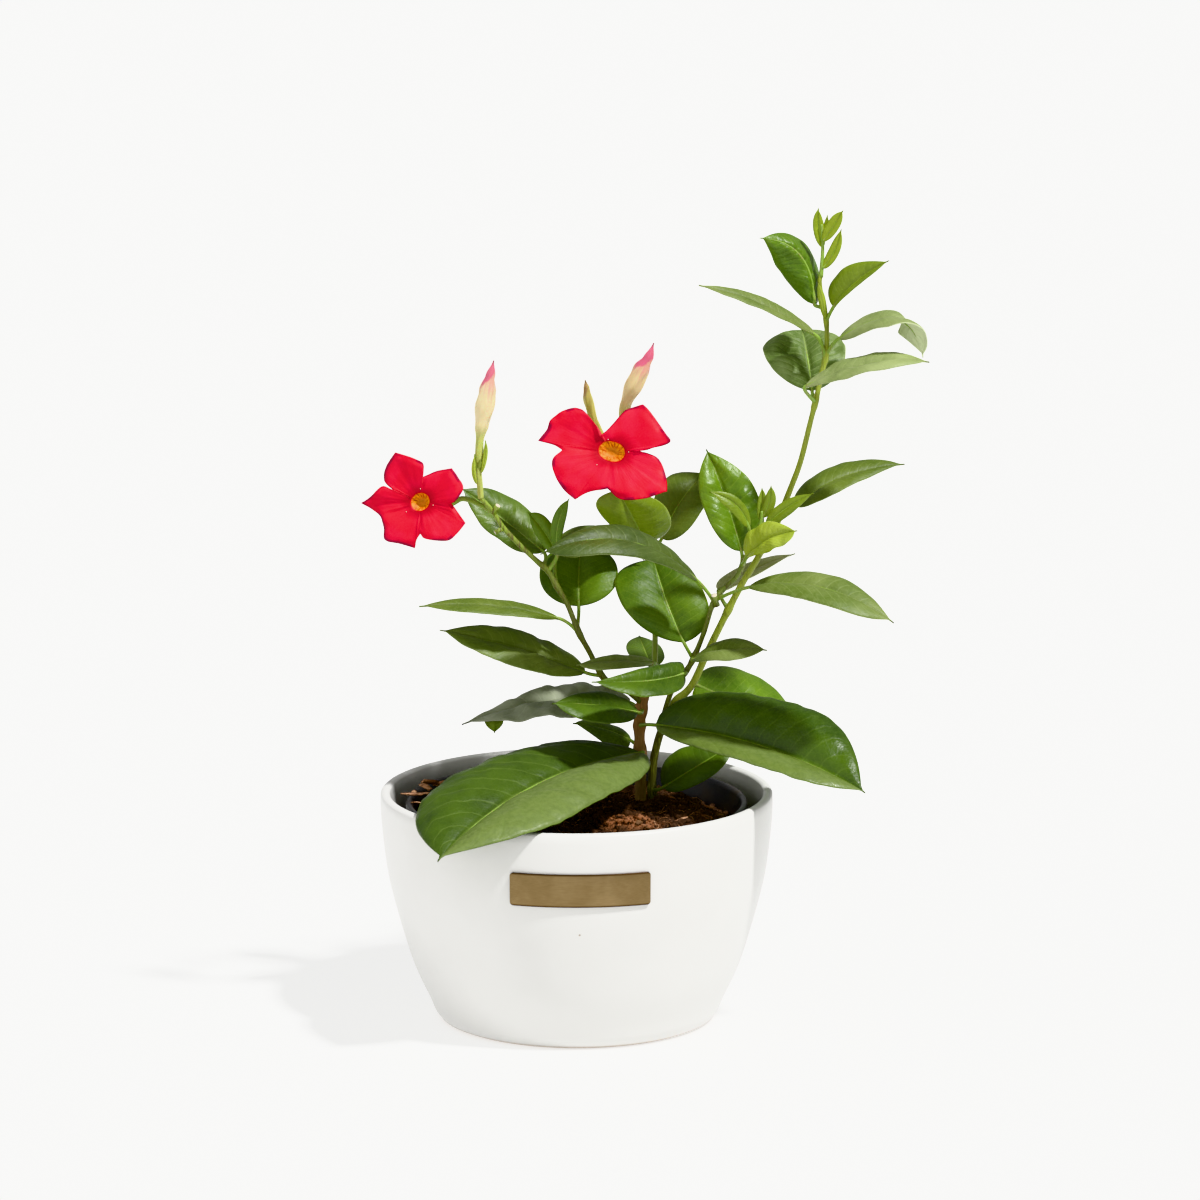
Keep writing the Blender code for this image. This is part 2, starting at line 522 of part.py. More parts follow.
def row_turns(rows, start, twist):
    """The rotation at each row that carries the shape at the start row along the leaf's line."""
    centres = [row[0] for row in rows]
    along = [(b - a).normalized() for a, b in
             zip([centres[0]] + centres[:-1], centres[1:] + [centres[-1]])]
    turns = [None] * len(rows)
    turns[start] = Matrix.Identity(3)
    for i in range(start + 1, len(rows)):
        turns[i] = along[i - 1].rotation_difference(along[i]).to_matrix() @ turns[i - 1]
    for i in range(start - 1, -1, -1):
        turns[i] = along[i + 1].rotation_difference(along[i]).to_matrix() @ turns[i + 1]
    blade_rows = 2 * (len(rows) - start)
    for i in range(len(rows)):
        share = max(-0.5, (i - start) / blade_rows)
        turns[i] = Matrix.Rotation(math.radians(twist) * share, 3, along[i]) @ turns[i]
    return turns, along[start]


def leaf(name, stalk, base, middle, tip, left, right, widest, finish):
    """One leaf: a grid laid along the stalk and midrib, out to its margins, then given thickness."""
    rows = leaf_rows(stalk, base, middle, tip, widest)
    strips = BLADE_STRIPS if stalk else LEAFLET_STRIPS
    blade_start = len(PETIOLE_ROWS) if stalk else 0
    turns, forward = row_turns(rows, (blade_start + len(rows)) // 2, TWISTS.get(name, 0))
    to_left = Vector(left) - Vector(middle)
    to_right = Vector(right) - Vector(middle)
    up = forward.cross(to_left - to_right).normalized()
    work = bmesh.new()
    bmesh.ops.create_grid(work, x_segments=strips, y_segments=len(rows) - 1, size=1.0)
    for vertex in work.verts:
        across = vertex.co.x
        i = round((vertex.co.y + 1) / 2 * (len(rows) - 1))
        centre, share = rows[i]
        margin = to_right if across > 0 else to_left
        least = PETIOLE_WIDTH / 2 if i <= blade_start else 0.5
        half = max(least, margin.length * share)
        out = margin.normalized() * half * abs(across)
        bulge = up * LEAF_BULGE * half * 4 * abs(across) * (1 - abs(across))
        vertex.co = metres(centre + turns[i] @ (out + bulge))
    bmesh.ops.triangulate(work, faces=work.faces, quad_method="FIXED")
    bmesh.ops.recalc_face_normals(work, faces=work.faces)
    blade = mesh_object(name, work, finish)
    wall = blade.modifiers.new("thickness", "SOLIDIFY")
    wall.thickness = BLADE_THICKNESS * MM
    wall.offset = 0.0
    return blade


def leaves():
    """Every full-grown leaf, its stalk cut clear of the stem that bears it."""
    for name, (stem, height, base, middle, tip, left, right, widest, finish) in LEAVES.items():
        start = stem_at_height(stem, height)[0]
        stalk = cut_clear(petiole_path(start, base, middle, tip), PETIOLE_WIDTH / 2, stem)
        leaf(name, stalk, base, middle, tip, left, right, widest, finish)


def fuse(core, pieces):
    """Join pieces to a core with one Boolean union, apply it, and remove the pieces."""
    group = bpy.data.collections.new("pieces")
    for piece in pieces:
        group.objects.link(piece)
    union = core.modifiers.new("union", "BOOLEAN")
    union.operation = "UNION"
    union.solver = "EXACT"
    union.operand_type = "COLLECTION"
    union.collection = group
    graph = bpy.context.evaluated_depsgraph_get()
    joined = bpy.data.meshes.new_from_object(core.evaluated_get(graph))
    name = core.name
    finish = core.data.materials[0].name
    for piece in pieces + [core]:
        bpy.data.objects.remove(piece, do_unlink=True)
    bpy.data.collections.remove(group)
    work = bmesh.new()
    work.from_mesh(joined)
    return mesh_object(name, work, finish)


def solid_rod(name, points, radius, finish):
    """A short round stem as a mesh, so that leaflets can be fused to it."""
    curve = rod(name + "_route", points, [radius] * len(points), finish)
    graph = bpy.context.evaluated_depsgraph_get()
    data = bpy.data.meshes.new_from_object(curve.evaluated_get(graph))
    bpy.data.objects.remove(curve, do_unlink=True)
    work = bmesh.new()
    work.from_mesh(data)
    bmesh.ops.remove_doubles(work, verts=work.verts, dist=0.001 * MM)
    return mesh_object(name, work, finish)


def shoots():
    """The growing tips: small leaflets fused to the end of a stem."""
    for name, (stem, points, radius, leaflets) in SHOOTS.items():
        if stem:
            points = thinned(cut_clear(points, radius, stem), SHOOT_POINT_STEP)
        core = solid_rod(name, points, radius, "leaf_pale")
        pieces = [leaf(f"{name}_{i}", None, *leaflet, 0.45, "leaf_pale")
                  for i, leaflet in enumerate(leaflets)]
        fuse(core, pieces)


def stalk_foot(stem, height, onward):
    """Where a flower stalk that leaves a stem at a height, towards a point, comes clear of it."""
    start = stem_at_height(stem, height)[0]
    return cut_clear([start, Vector(onward)], STALK_RADIUS, stem)[0]


def buds():
    """Furled buds on their stalks, each turned along its own line."""
    for name, (stem, height, knots) in BUDS.items():
        points = [point for point, _ in knots]
        radii = [radius for _, radius in knots]
        points.append(stalk_foot(stem, height, points[-1]))
        rod(name, points, radii + [STALK_RADIUS], "bud_cream", sides=8)


def lobe_outline(lobes):
    """The flower's edge as evenly many points for each lobe, with how far along its lobe each is."""
    edge = []
    for lobe, following in zip(lobes, lobes[1:] + lobes[:1]):
        corners = [Vector((x, y, 0)) for x, y in lobe + following[:1]]
        fine = smooth_path(corners, 0.2)
        for i in range(LOBE_STEPS):
            along = i / LOBE_STEPS
            edge.append((fine[round(along * (len(fine) - 1))], along))
    return edge


def flower_axes(facing):
    """Right, up and outward directions of a flower that looks the given way."""
    outward = Vector(facing).normalized()
    right = Vector((0, 0, 1)).cross(outward).normalized()
    return right, outward.cross(right).normalized(), outward


def corolla(name, flower):
    """The red lobes, one sheet round the throat, cupped towards it and waved from lobe to lobe."""
    work = bmesh.new()
    mouth = flower["mouth"]
    edge = lobe_outline(flower["lobes"])
    dots = [work.verts.new((1.0 + k, 0, 0)) for k in range(PETAL_RINGS + 1)]
    lines = [work.edges.new(pair) for pair in zip(dots, dots[1:])]
    bmesh.ops.spin(work, geom=dots + lines, cent=(0, 0, 0), axis=(0, 0, 1), angle=math.tau,
                   steps=len(edge), use_merge=True)
    right, up, outward = flower_axes(flower["facing"])
    for vertex in work.verts:
        ring = round(vertex.co.to_2d().length - 1.0)
        step = round(math.atan2(vertex.co.y, vertex.co.x) / math.tau * len(edge))
        brink, along = edge[step % len(edge)]
        share = ring / PETAL_RINGS
        flat = brink.normalized() * mouth * (1 - share) + brink * share
        depth = PETAL_CUP * (1 - (1 - share) ** 2) + PETAL_WAVE * share * math.sin(math.tau * along)
        place = Vector(flower["throat"]) + right * flat.x + up * flat.y + outward * depth
        vertex.co = metres(place)
    bmesh.ops.triangulate(work, faces=work.faces, quad_method="FIXED")
    bmesh.ops.recalc_face_normals(work, faces=work.faces)
    sheet = mesh_object(name + "_lobes", work, "petal_red")
    wall = sheet.modifiers.new("thickness", "SOLIDIFY")
    wall.thickness = PETAL_THICKNESS * MM
    wall.offset = 0.0
    return sheet


def throat(name, flower):
    """The orange funnel behind the lobes, open at its mouth and closed at its narrow end."""
    mouth = flower["mouth"] - GAP
    deep = flower["tube"]
    outer = [(TUBE_END_RADIUS, -deep), (TUBE_END_RADIUS + 0.5, -deep * 0.7), (mouth * 0.86, -deep * 0.45),
             (mouth, -deep * 0.12), (mouth, 0.0)]
    inner = [(radius - THROAT_WALL, height) for radius, height in reversed(outer[1:])]
    funnel = turned(name + "_throat", [(0.0, -deep)] + outer + inner + [(0.0, -deep * 0.68)],
                    THROAT_STEPS, "throat_orange")
    right, up, outward = flower_axes(flower["facing"])
    turn = Matrix((right, up, outward)).transposed().to_4x4()
    funnel.data.transform(Matrix.Translation(metres(flower["throat"])) @ turn)
    return funnel


def flowers():
    """Both open flowers: lobes, throat and stalk."""
    for name, flower in FLOWERS.items():
        corolla(name, flower)
        throat(name, flower)
        outward = flower_axes(flower["facing"])[2]
        top = Vector(flower["throat"]) - outward * (flower["tube"] + 2 * GAP)
        points = [top] + flower["stalk"]
        points.append(stalk_foot(flower["stem"], flower["height"], points[-1]))
        rod(name + "_stalk", points, [STALK_RADIUS] * len(points), "stem_green")


clear_scene()
pot()
nursery_pot()
soil()
plate()
stems()
leaves()
shoots()
buds()
flowers()
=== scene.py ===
# %% [markdown]
# # A mandevilla in a round white pot
# The real object is a young climbing plant: glossy oval leaves on thin forked stems, two red trumpet
# flowers and three furled buds, rooted in a black nursery pot that stands inside a white glazed one.
# The frame holds plain solids of every piece. This file dresses each of them with a finer mesh and a
# finish made from nodes, and leaves their places and sizes alone.

# %% Load the frame and keep its size
import random
from math import atan2, cos, exp, hypot, pi, radians, sin, sqrt, tau

import bmesh
import bpy
from mathutils import Matrix, Vector, noise


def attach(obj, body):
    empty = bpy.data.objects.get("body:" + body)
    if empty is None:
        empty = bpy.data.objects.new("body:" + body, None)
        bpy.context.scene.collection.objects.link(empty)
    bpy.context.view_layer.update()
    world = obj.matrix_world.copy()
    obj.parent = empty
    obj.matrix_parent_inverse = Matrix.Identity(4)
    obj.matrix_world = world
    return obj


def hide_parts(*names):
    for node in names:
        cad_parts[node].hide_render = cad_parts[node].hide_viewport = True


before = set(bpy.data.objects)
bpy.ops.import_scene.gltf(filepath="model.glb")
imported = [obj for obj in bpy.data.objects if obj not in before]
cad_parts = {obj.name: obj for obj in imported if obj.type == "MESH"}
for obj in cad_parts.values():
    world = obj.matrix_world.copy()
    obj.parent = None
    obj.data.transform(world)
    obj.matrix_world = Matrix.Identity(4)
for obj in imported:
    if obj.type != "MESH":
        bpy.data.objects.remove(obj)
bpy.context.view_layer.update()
MM = 0.001

# %% [markdown]
# ## Camera and light
# The plant was seen from 2.5 metres away through a long lens, from a little above. A sun lamp with a
# small disc gives shadows with a soft edge on the leaves. A second one with a very wide disc stands
# for the bright wall on the left, and a white surround fills what is left, as a room does.

# %% Camera and light
CAMERA_PLACE = (0.0107, -2.436, 0.667)
CAMERA_PITCH = 10.98
CAMERA_LENS = 163.4
# Each sun lamp: its angle round the plant, its height, its strength and the width of its disc.
SUNS = {"key_light": (39.0, 57.0, 5.3, 4.5), "fill_light": (145.0, 8.0, 1.5, 100.0)}
SURROUND_STRENGTH = 0.45


def add_object(name, data):
    """Put data in the scene as a new object."""
    item = bpy.data.objects.new(name, data)
    bpy.context.scene.collection.objects.link(item)
    return item


camera = add_object("camera", bpy.data.cameras.new("camera"))
camera.location = CAMERA_PLACE
camera.rotation_euler = (radians(90 - CAMERA_PITCH), 0, 0)
camera.data.lens = CAMERA_LENS
bpy.context.scene.camera = camera

for name, (side, height, strength, disc) in SUNS.items():
    lamp = add_object(name, bpy.data.lights.new(name, "SUN"))
    around, rise = radians(side), radians(height)
    towards = Vector((cos(rise) * cos(around), -cos(rise) * sin(around), sin(rise)))
    lamp.rotation_euler = towards.to_track_quat("Z", "Y").to_euler()
    lamp.data.energy = strength
    lamp.data.angle = radians(disc)

surround = bpy.data.worlds.new("surround")
surround.use_nodes = True
glow = surround.node_tree.nodes["Background"].inputs
glow["Color"].default_value = (1, 1, 1, 1)
glow["Strength"].default_value = SURROUND_STRENGTH
bpy.context.scene.world = surround
bpy.context.scene.view_settings.view_transform = "Khronos PBR Neutral"
print("suns", len(SUNS))

# %% [markdown]
# ## Short names for shader nodes
# A finish is a Principled shader with a few nodes in front of it. Wiring nodes by hand is wordy, so
# this small class gives each kind of node a one-line method. Colours are laid over one another with
# paint, like glazes. Positions come from Object coordinates, in metres, or from the UV map where a
# pattern follows a leaf or a petal.

# %% A finish and its nodes
class Look:
    """A Principled material, with short methods for the nodes that shape it."""

    def __init__(self, name, **constants):
        self.material = bpy.data.materials.new(name)
        self.material.use_nodes = True
        self.tree = self.material.node_tree
        self.shader = self.tree.nodes["Principled BSDF"]
        self.colour = None
        for key, value in constants.items():
            self.shader.inputs[key.replace("_", " ")].default_value = value

    def node(self, kind, inputs, **settings):
        """Make a node, link or set its inputs, and hand back its outputs."""
        made = self.tree.nodes.new("ShaderNode" + kind)
        for key, value in settings.items():
            setattr(made, key, value)
        for key, value in inputs.items():
            if isinstance(value, bpy.types.NodeSocket):
                self.tree.links.new(value, made.inputs[key])
            else:
                made.inputs[key].default_value = value
        return made.outputs

    def place(self, stretch=(1, 1, 1), source="Object"):
        """Object or UV coordinates, stretched along each axis."""
        spot = self.node("TexCoord", {})[source]
        return self.node("Mapping", {"Vector": spot, "Scale": stretch})["Vector"]

    def split(self, source="Object"):
        return self.node("SeparateXYZ", {"Vector": self.place(source=source)}).values()

    def noise(self, scale, detail=3.0, stretch=(1, 1, 1), source="Object"):
        inputs = {"Vector": self.place(stretch, source), "Scale": scale, "Detail": detail}
        return self.node("TexNoise", inputs)["Fac"]

    def cells(self, scale, feature="F1", stretch=(1, 1, 1)):
        inputs = {"Vector": self.place(stretch), "Scale": scale}
        return self.node("TexVoronoi", inputs, feature=feature)["Distance"]

    def maths(self, operation, *values):
        return self.node("Math", dict(enumerate(values)), operation=operation)["Value"]

    def times(self, first, second):
        return self.maths("MULTIPLY", first, second)

    def plus(self, first, second):
        return self.maths("ADD", first, second)

    def scaled(self, value, gain, offset):
        return self.maths("MULTIPLY_ADD", value, gain, offset)

    def between(self, value, low, high):
        """0 below low, 1 above high, and a smooth step from one to the other."""
        inputs = {"Value": value, "From Min": low, "From Max": high}
        return self.node("MapRange", inputs, interpolation_type="SMOOTHSTEP")["Result"]

    def paint(self, factor, over, under=None):
        """Lay a colour of three linear numbers over another, or over what is painted so far."""
        under = (*under, 1.0) if under else self.colour
        self.colour = self.node("Mix", {0: factor, 6: under, 7: (*over, 1.0)}, data_type="RGBA")[2]

    def bump(self, height, distance, strength, below=None):
        inputs = {"Height": height, "Distance": distance, "Strength": strength}
        if below is not None:
            inputs["Normal"] = below
        return self.node("Bump", inputs)["Normal"]

    def done(self, roughness, normal):
        """Wire the last sockets into the shader and hand back the material."""
        for key, socket in (("Base Color", self.colour), ("Roughness", roughness), ("Normal", normal)):
            self.tree.links.new(socket, self.shader.inputs[key])
        return self.material


def dimmed(colour, share):
    """A share of a colour."""
    return tuple(share * part for part in colour)


# %% [markdown]
# ## Helpers for meshes
# Most of a plant is bent sheets and tapering tubes. Both start here as a flat grid whose columns and
# rows become a UV map, and each point is then moved to its place. A blade gets its thickness by
# extruding its whole face, so that the two faces stay joined by a rim, and setting one back.

# %% Sheets and tubes
FLOOR_SIZE = 12.0


def spots(text):
    """Points in millimetres from a line of text, where each is its numbers joined by commas."""
    return [tuple(map(float, spot.split(","))) for spot in text.split()]


def table(columns, text):
    """The rows of a table, each split into its columns. The last column keeps its spaces."""
    return [row.split(maxsplit=columns - 1) for row in text.strip().splitlines()]


def metres(point):
    """A point in millimetres, in metres."""
    return Vector(point) * MM


def smooth_step(low, high, value):
    """0 below low, 1 above high, and a smooth rise between them."""
    t = max(0.0, min(1.0, (value - low) / (high - low)))
    return t * t * (3 - 2 * t)


def smooth_path(points, step):
    """A Catmull-Rom curve through the points, as points about one step apart."""
    ring = [Vector(p) for p in points]
    ring = [2 * ring[0] - ring[1]] + ring + [2 * ring[-1] - ring[-2]]
    path = []
    for a, b, c, d in zip(ring, ring[1:], ring[2:], ring[3:]):
        parts = max(1, round((c - b).length / step))
        for i in range(parts):
            t = i / parts
            path.append(0.5 * (2 * b + (c - a) * t + (2 * a - 5 * b + 4 * c - d) * t * t
                               + (3 * b - 3 * c + d - a) * t ** 3))
    path.append(ring[-2])
    return path


def new_work():
    """An empty bmesh with a UV map."""
    work = bmesh.new()
    work.loops.layers.uv.new("UVMap")
    return work


def add_sheet(work, columns, rows, shape, slot=0):
    """Add a grid whose point at u, v is moved to shape(u, v) in millimetres. Seams are closed."""
    made = bmesh.ops.create_grid(work, x_segments=columns, y_segments=rows, size=0.5, calc_uvs=True)["verts"]
    faces = list({face for vertex in made for face in vertex.link_faces})
    for face in faces:
        face.material_index = slot
    for vertex in made:
        vertex.co = metres(shape(vertex.co.x + 0.5, vertex.co.y + 0.5))
    bmesh.ops.remove_doubles(work, verts=made, dist=0.004 * MM)
    return [face for face in faces if face.is_valid]


def add_tube(work, path, radii, columns=10, slot=0, ribs=0, rib_depth=0.0, rib_turns=0.0):
    """Add a closed tube along the path, with its own radius at each point and, if asked, ribs."""
    path = [Vector(p) for p in path]
    along = [(b - a).normalized() for a, b in zip([path[0]] + path[:-1], path[1:] + [path[-1]])]
    sides = [along[0].orthogonal().normalized()]
    for before, direction in zip(along, along[1:]):
        sides.append(before.rotation_difference(direction) @ sides[-1])

    def shape(u, v):
        step = round(v * (len(path) + 1))
        i = min(max(step - 1, 0), len(path) - 1)
        radius = 0.0 if step in (0, len(path) + 1) else radii[i]
        angle = tau * u
        radius *= 1 + rib_depth * cos(ribs * (angle - tau * rib_turns * i / len(path)))
        return path[i] + (sides[i] * cos(angle) + along[i].cross(sides[i]) * sin(angle)) * radius

    return add_sheet(work, columns, len(path) + 1, shape, slot)


def thicken(work, faces, thickness, slot):
    """Turn a sheet into a closed shell, with a lower face set back by the thickness in millimetres."""
    for face in faces:
        face.normal_update()
    vertices = list({vertex for face in faces for vertex in face.verts})
    for vertex in vertices:
        vertex.normal_update()
    set_back = [(vertex, vertex.normal * thickness * MM) for vertex in vertices]
    before = set(work.faces)
    grown = bmesh.ops.extrude_face_region(work, geom=faces, use_keep_orig=True)["geom"]
    tops = {part for part in grown if isinstance(part, bmesh.types.BMFace)}
    for vertex, shift in set_back:
        vertex.co -= shift
    added = [face for face in work.faces if face not in before]
    for face in faces + [face for face in added if face not in tops]:
        face.material_index = slot
    bmesh.ops.recalc_face_normals(work, faces=faces + added)


def piece(name, work, materials, replaced=()):
    """Turn a bmesh into a smooth-shaded piece that rides on the plant and stands for its nodes."""
    data = bpy.data.meshes.new(name)
    for face in work.faces:
        face.smooth = True
    work.to_mesh(data)
    work.free()
    for material in materials:
        data.materials.append(material)
    item = add_object(name, data)
    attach(item, "root")
    if replaced:
        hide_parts(*replaced)
    return item


def spun(profile, steps):
    """Turn a (radius, height) profile in millimetres about Z into a closed shell."""
    work = new_work()
    dots = [work.verts.new(metres((radius, 0.0, height))) for radius, height in profile]
    lines = [work.edges.new(pair) for pair in zip(dots, dots[1:])]
    bmesh.ops.spin(work, geom=dots + lines, cent=(0, 0, 0), axis=(0, 0, 1), angle=tau, steps=steps,
                   use_merge=True)
    bmesh.ops.remove_doubles(work, verts=work.verts, dist=0.01 * MM)
    bmesh.ops.recalc_face_normals(work, faces=work.faces)
    return work


floor_work = bmesh.new()
bmesh.ops.create_grid(floor_work, x_segments=1, y_segments=1, size=FLOOR_SIZE)
floor_data = bpy.data.meshes.new("floor")
floor_work.to_mesh(floor_data)
floor_work.free()
floor_look = Look("pale_floor", Base_Color=(0.45, 0.45, 0.445, 1.0), Roughness=0.9, Specular_IOR_Level=0.0,
                  Emission_Color=(1.0, 1.0, 0.99, 1.0), Emission_Strength=0.7)
floor_data.materials.append(floor_look.material)
add_object("floor", floor_data)

# %% [markdown]
# ## The white pot
# The pot is earthenware, turned and dipped in a white satin glaze. A turned shape is a profile spun
# about its axis, which needs far fewer decisions than shaping a cylinder. The wall is a smooth curve
# through a few radii, and the lip is an arc, so the rim catches the light in one thin line.

# %% Glaze with a faint mottle and a few specks
POT_HEIGHT = 106.0
POT_WALL = 4.6
POT_OUTSIDE = spots("60.5,0 63.4,1.2 65.6,4.2 68,10 75.2,26 81.6,47 86.7,68 89.4,90 90,101")
POT_STEPS = 192
LIP_STEPS = 10


def glaze():
    """Satin white glaze: almost even, with tiny dark specks, a slow swell and painted shade at the foot."""
    look = Look("white_glaze", Specular_IOR_Level=0.5, Coat_Weight=0.12, Coat_Roughness=0.2)
    tint = look.between(look.noise(22.0), 0.3, 0.7)
    look.paint(tint, (0.62, 0.615, 0.595), (0.59, 0.585, 0.565))
    specks = look.between(look.cells(95.0), 0.07, 0.03)
    chosen = look.between(look.noise(38.0, 1.0), 0.6, 0.64)
    look.paint(look.times(specks, chosen), (0.25, 0.19, 0.13))
    # A thin brown band at the very foot, darkest at the bottom, is painted shade where the pot meets the
    # floor.
    look.paint(look.between(look.split()[2], 0.0022, 0.0004), (0.36, 0.28, 0.2))
    return look.done(look.scaled(tint, 0.06, 0.36), look.bump(look.noise(160.0, 2.0), 0.0002, 0.35))


def pot_profile():
    """The outside up to the lip, the round lip, and the inside down to the floor."""
    outside = [(p.x, p.z) for p in smooth_path([(r, 0, z) for r, z in POT_OUTSIDE], 3.0)]
    half = POT_WALL / 2
    middle = POT_OUTSIDE[-1][0] - half
    lip = []
    for i in range(1, LIP_STEPS):
        angle = pi * i / LIP_STEPS
        lip.append((middle + half * cos(angle), POT_HEIGHT - half * 0.8 * (1 - sin(angle))))
    inside = [(radius - POT_WALL, height) for radius, height in reversed(outside) if height > 9]
    return [(0.0, 0.0)] + outside + lip + inside + [(54.5, 5.0), (0.0, 5.0)]


pot = piece("white_pot", spun(pot_profile(), POT_STEPS), [glaze()], ["pot"])
print("pot", len(pot.data.polygons), "faces")

# %% [markdown]
# ## The nursery pot
# A plant is sold in a thin moulded black pot, and its rim shows as a dark line round the soil. It is
# spun too, with a turned-out lip a little under two millimetres wide and a slight gloss.

# %% Black moulded plastic
NURSERY_PROFILE = spots("""0,5.3 50,5.3 52,7.3 76.5,95.8 78.2,96.6 78.4,97.4 78.4,100.2 77.9,101 76.4,101
                        75.6,100.4 75.2,99.2 50.6,6.7 0,6.7""")


def black_plastic():
    """Dusty black plastic with fine moulding grain."""
    look = Look("black_plastic", Specular_IOR_Level=0.45)
    dust = look.between(look.noise(90.0, 5.0), 0.45, 0.75)
    look.paint(dust, (0.045, 0.038, 0.032), (0.012, 0.012, 0.013))
    return look.done(look.scaled(dust, 0.3, 0.3), look.bump(look.noise(900.0, 2.0), 0.0001, 0.4))


piece("nursery_pot_shell", spun(NURSERY_PROFILE, 128), [black_plastic()], ["nursery_pot"])

# %% [markdown]
# ## Potting mix
# The mix is dark peat with coir and bark. From above it is a rough, crumbly surface, so the big
# lumps are real relief in the mesh, and on it lie crumbs, chips of bark and short fibres. Crumbs are
# twenty-sided balls squashed and turned at random, with a fixed seed, so they cost little. Splinters
# of bark have set places: some lie over the black rim on the left.

# %% Soil surface, crumbs, bark and fibres
SOIL_LEVEL = 95.5
SOIL_COLUMNS = 180
SOIL_ROWS = 64
SOIL_EDGE = 72.0
SOIL_DISH = 6.0
# Radius and height at the plug's shoulder, foot and middle of the base.
SOIL_UNDER = spots("68.5,78 49.5,7.2 0,7.2")
DISH_START = 56.0
COIR_LUMP = Vector((25.0, -27.0))
# Swells of the surface: the middle, the height, and the distances where it starts and is full.
SWELLS = ((COIR_LUMP, 2.6, 17.0, 4.0), (Vector((-67.0, 16.0)), 6.5, 22.0, 6.0))
CRUMBS = 1900
CHIPS = 70
FIBRES = 220
# Splinters of bark: the middle's x, y and z, then length, width and heading in degrees.
SPLINTERS = spots("""-73.8,4,102.8,14,2.4,5 -70,15,104,9,2.4,-55 -72.5,-4,100.6,7,1.1,15 -68,24,104,8,3.6,30
    -75,10,102.4,6,1.6,70 -66,7,101.5,8,2.2,-25 -63,27,102.5,8,2.4,20 -60,36,101.5,8,2.2,-30
    -69,-8,99.5,6,1.4,40 43,-42,95.5,8,2,-35 47,-20,96.5,8,2.6,10 56,-6,96,6,1.8,60 43,20,98,7,2.2,-40
    60,14,94.5,7,1.6,-20""")
rng = random.Random(7)


def jitter():
    """Three random numbers from -1 to 1."""
    return Vector([rng.uniform(-1, 1) for _ in range(3)])


def on_soil(radius):
    """A random spot on the soil at a radius, as x and y in millimetres."""
    angle = rng.uniform(0, tau)
    return radius * cos(angle), radius * sin(angle)


def soil_height(x, y):
    """The height of the crumbly surface in millimetres."""
    here = Vector((x, y, 0.0))
    broad = noise.noise(here * 0.05) * 1.9
    lumps = noise.noise(here * 0.17 + Vector((9, 0, 0))) * 1.4
    grains = noise.noise(here * 0.55) * 0.7 + noise.noise(here * 1.2) * 0.35
    height = SOIL_LEVEL + broad + lumps + grains
    height -= SOIL_DISH * smooth_step(DISH_START, SOIL_EDGE, hypot(x, y))
    for middle, rise, start, full in SWELLS:
        height += rise * smooth_step(start, full, (Vector((x, y)) - middle).length)
    return height


def soil_shape(u, v):
    """The plug of soil as one sheet: the top from the middle out, then the side and the base."""
    angle = -tau * u
    top_rows = (SOIL_ROWS - 3) / SOIL_ROWS
    if v <= top_rows:
        radius = SOIL_EDGE * (v / top_rows) ** 0.8
        x, y = radius * cos(angle), radius * sin(angle)
        return Vector((x, y, soil_height(x, y)))
    radius, height = SOIL_UNDER[round((v - top_rows) * SOIL_ROWS) - 1]
    return Vector((radius * cos(angle), radius * sin(angle), height))


def peat():
    """Dark peat in darker and lighter patches, with paler grains, redder where coir lies."""
    look = Look("peat", Specular_IOR_Level=0.3)
    grains = look.between(look.noise(700.0, 4.0), 0.35, 0.7)
    look.paint(look.between(look.noise(60.0, 5.0), 0.42, 0.68), (0.07, 0.032, 0.015), (0.016, 0.008, 0.005))
    look.paint(grains, (0.12, 0.058, 0.028))
    look.paint(0.5, (0.022, 0.011, 0.007))
    off_x, off_y = [look.maths("SUBTRACT", a, b * MM) for a, b in zip(look.split(), COIR_LUMP)]
    away = look.maths("SQRT", look.plus(look.times(off_x, off_x), look.times(off_y, off_y)))
    look.paint(look.times(look.between(away, 0.017, 0.009), look.between(grains, 0.0, 0.7)),
               (0.27, 0.115, 0.055))
    return look.done(look.scaled(grains, -0.2, 0.95), look.bump(look.noise(1500.0, 4.0), 0.0008, 0.9))


def bark(name, dark, light):
    """Bark with long grain, from one colour to another."""
    look = Look(name, Specular_IOR_Level=0.3)
    grain = look.noise(420.0, 4.0, (1, 1, 3.5))
    look.paint(look.between(look.noise(75.0, 2.0), 0.35, 0.65), light, dark)
    look.paint(look.between(grain, 0.42, 0.75), dimmed(dark, 0.4))
    return look.done(look.scaled(grain, 0.2, 0.7), look.bump(grain, 0.0005, 0.7))


def add_crumb(work, x, y, size):
    """One crumb of peat, a squashed and turned ball half sunk in the surface."""
    turn = Matrix.Rotation(rng.uniform(0, tau), 4, Vector((rng.random(), rng.random(), rng.random() + 0.1)))
    squash = Matrix.Diagonal((rng.uniform(0.7, 1.3), rng.uniform(0.6, 1.1), rng.uniform(0.5, 0.9), 1.0))
    spot = Matrix.Translation(metres((x, y, soil_height(x, y) + size * 0.15)))
    ball = bmesh.ops.create_icosphere(work, subdivisions=1, radius=size * MM, matrix=spot @ turn @ squash)
    for vertex in ball["verts"]:
        vertex.co += jitter() * size * 0.22 * MM


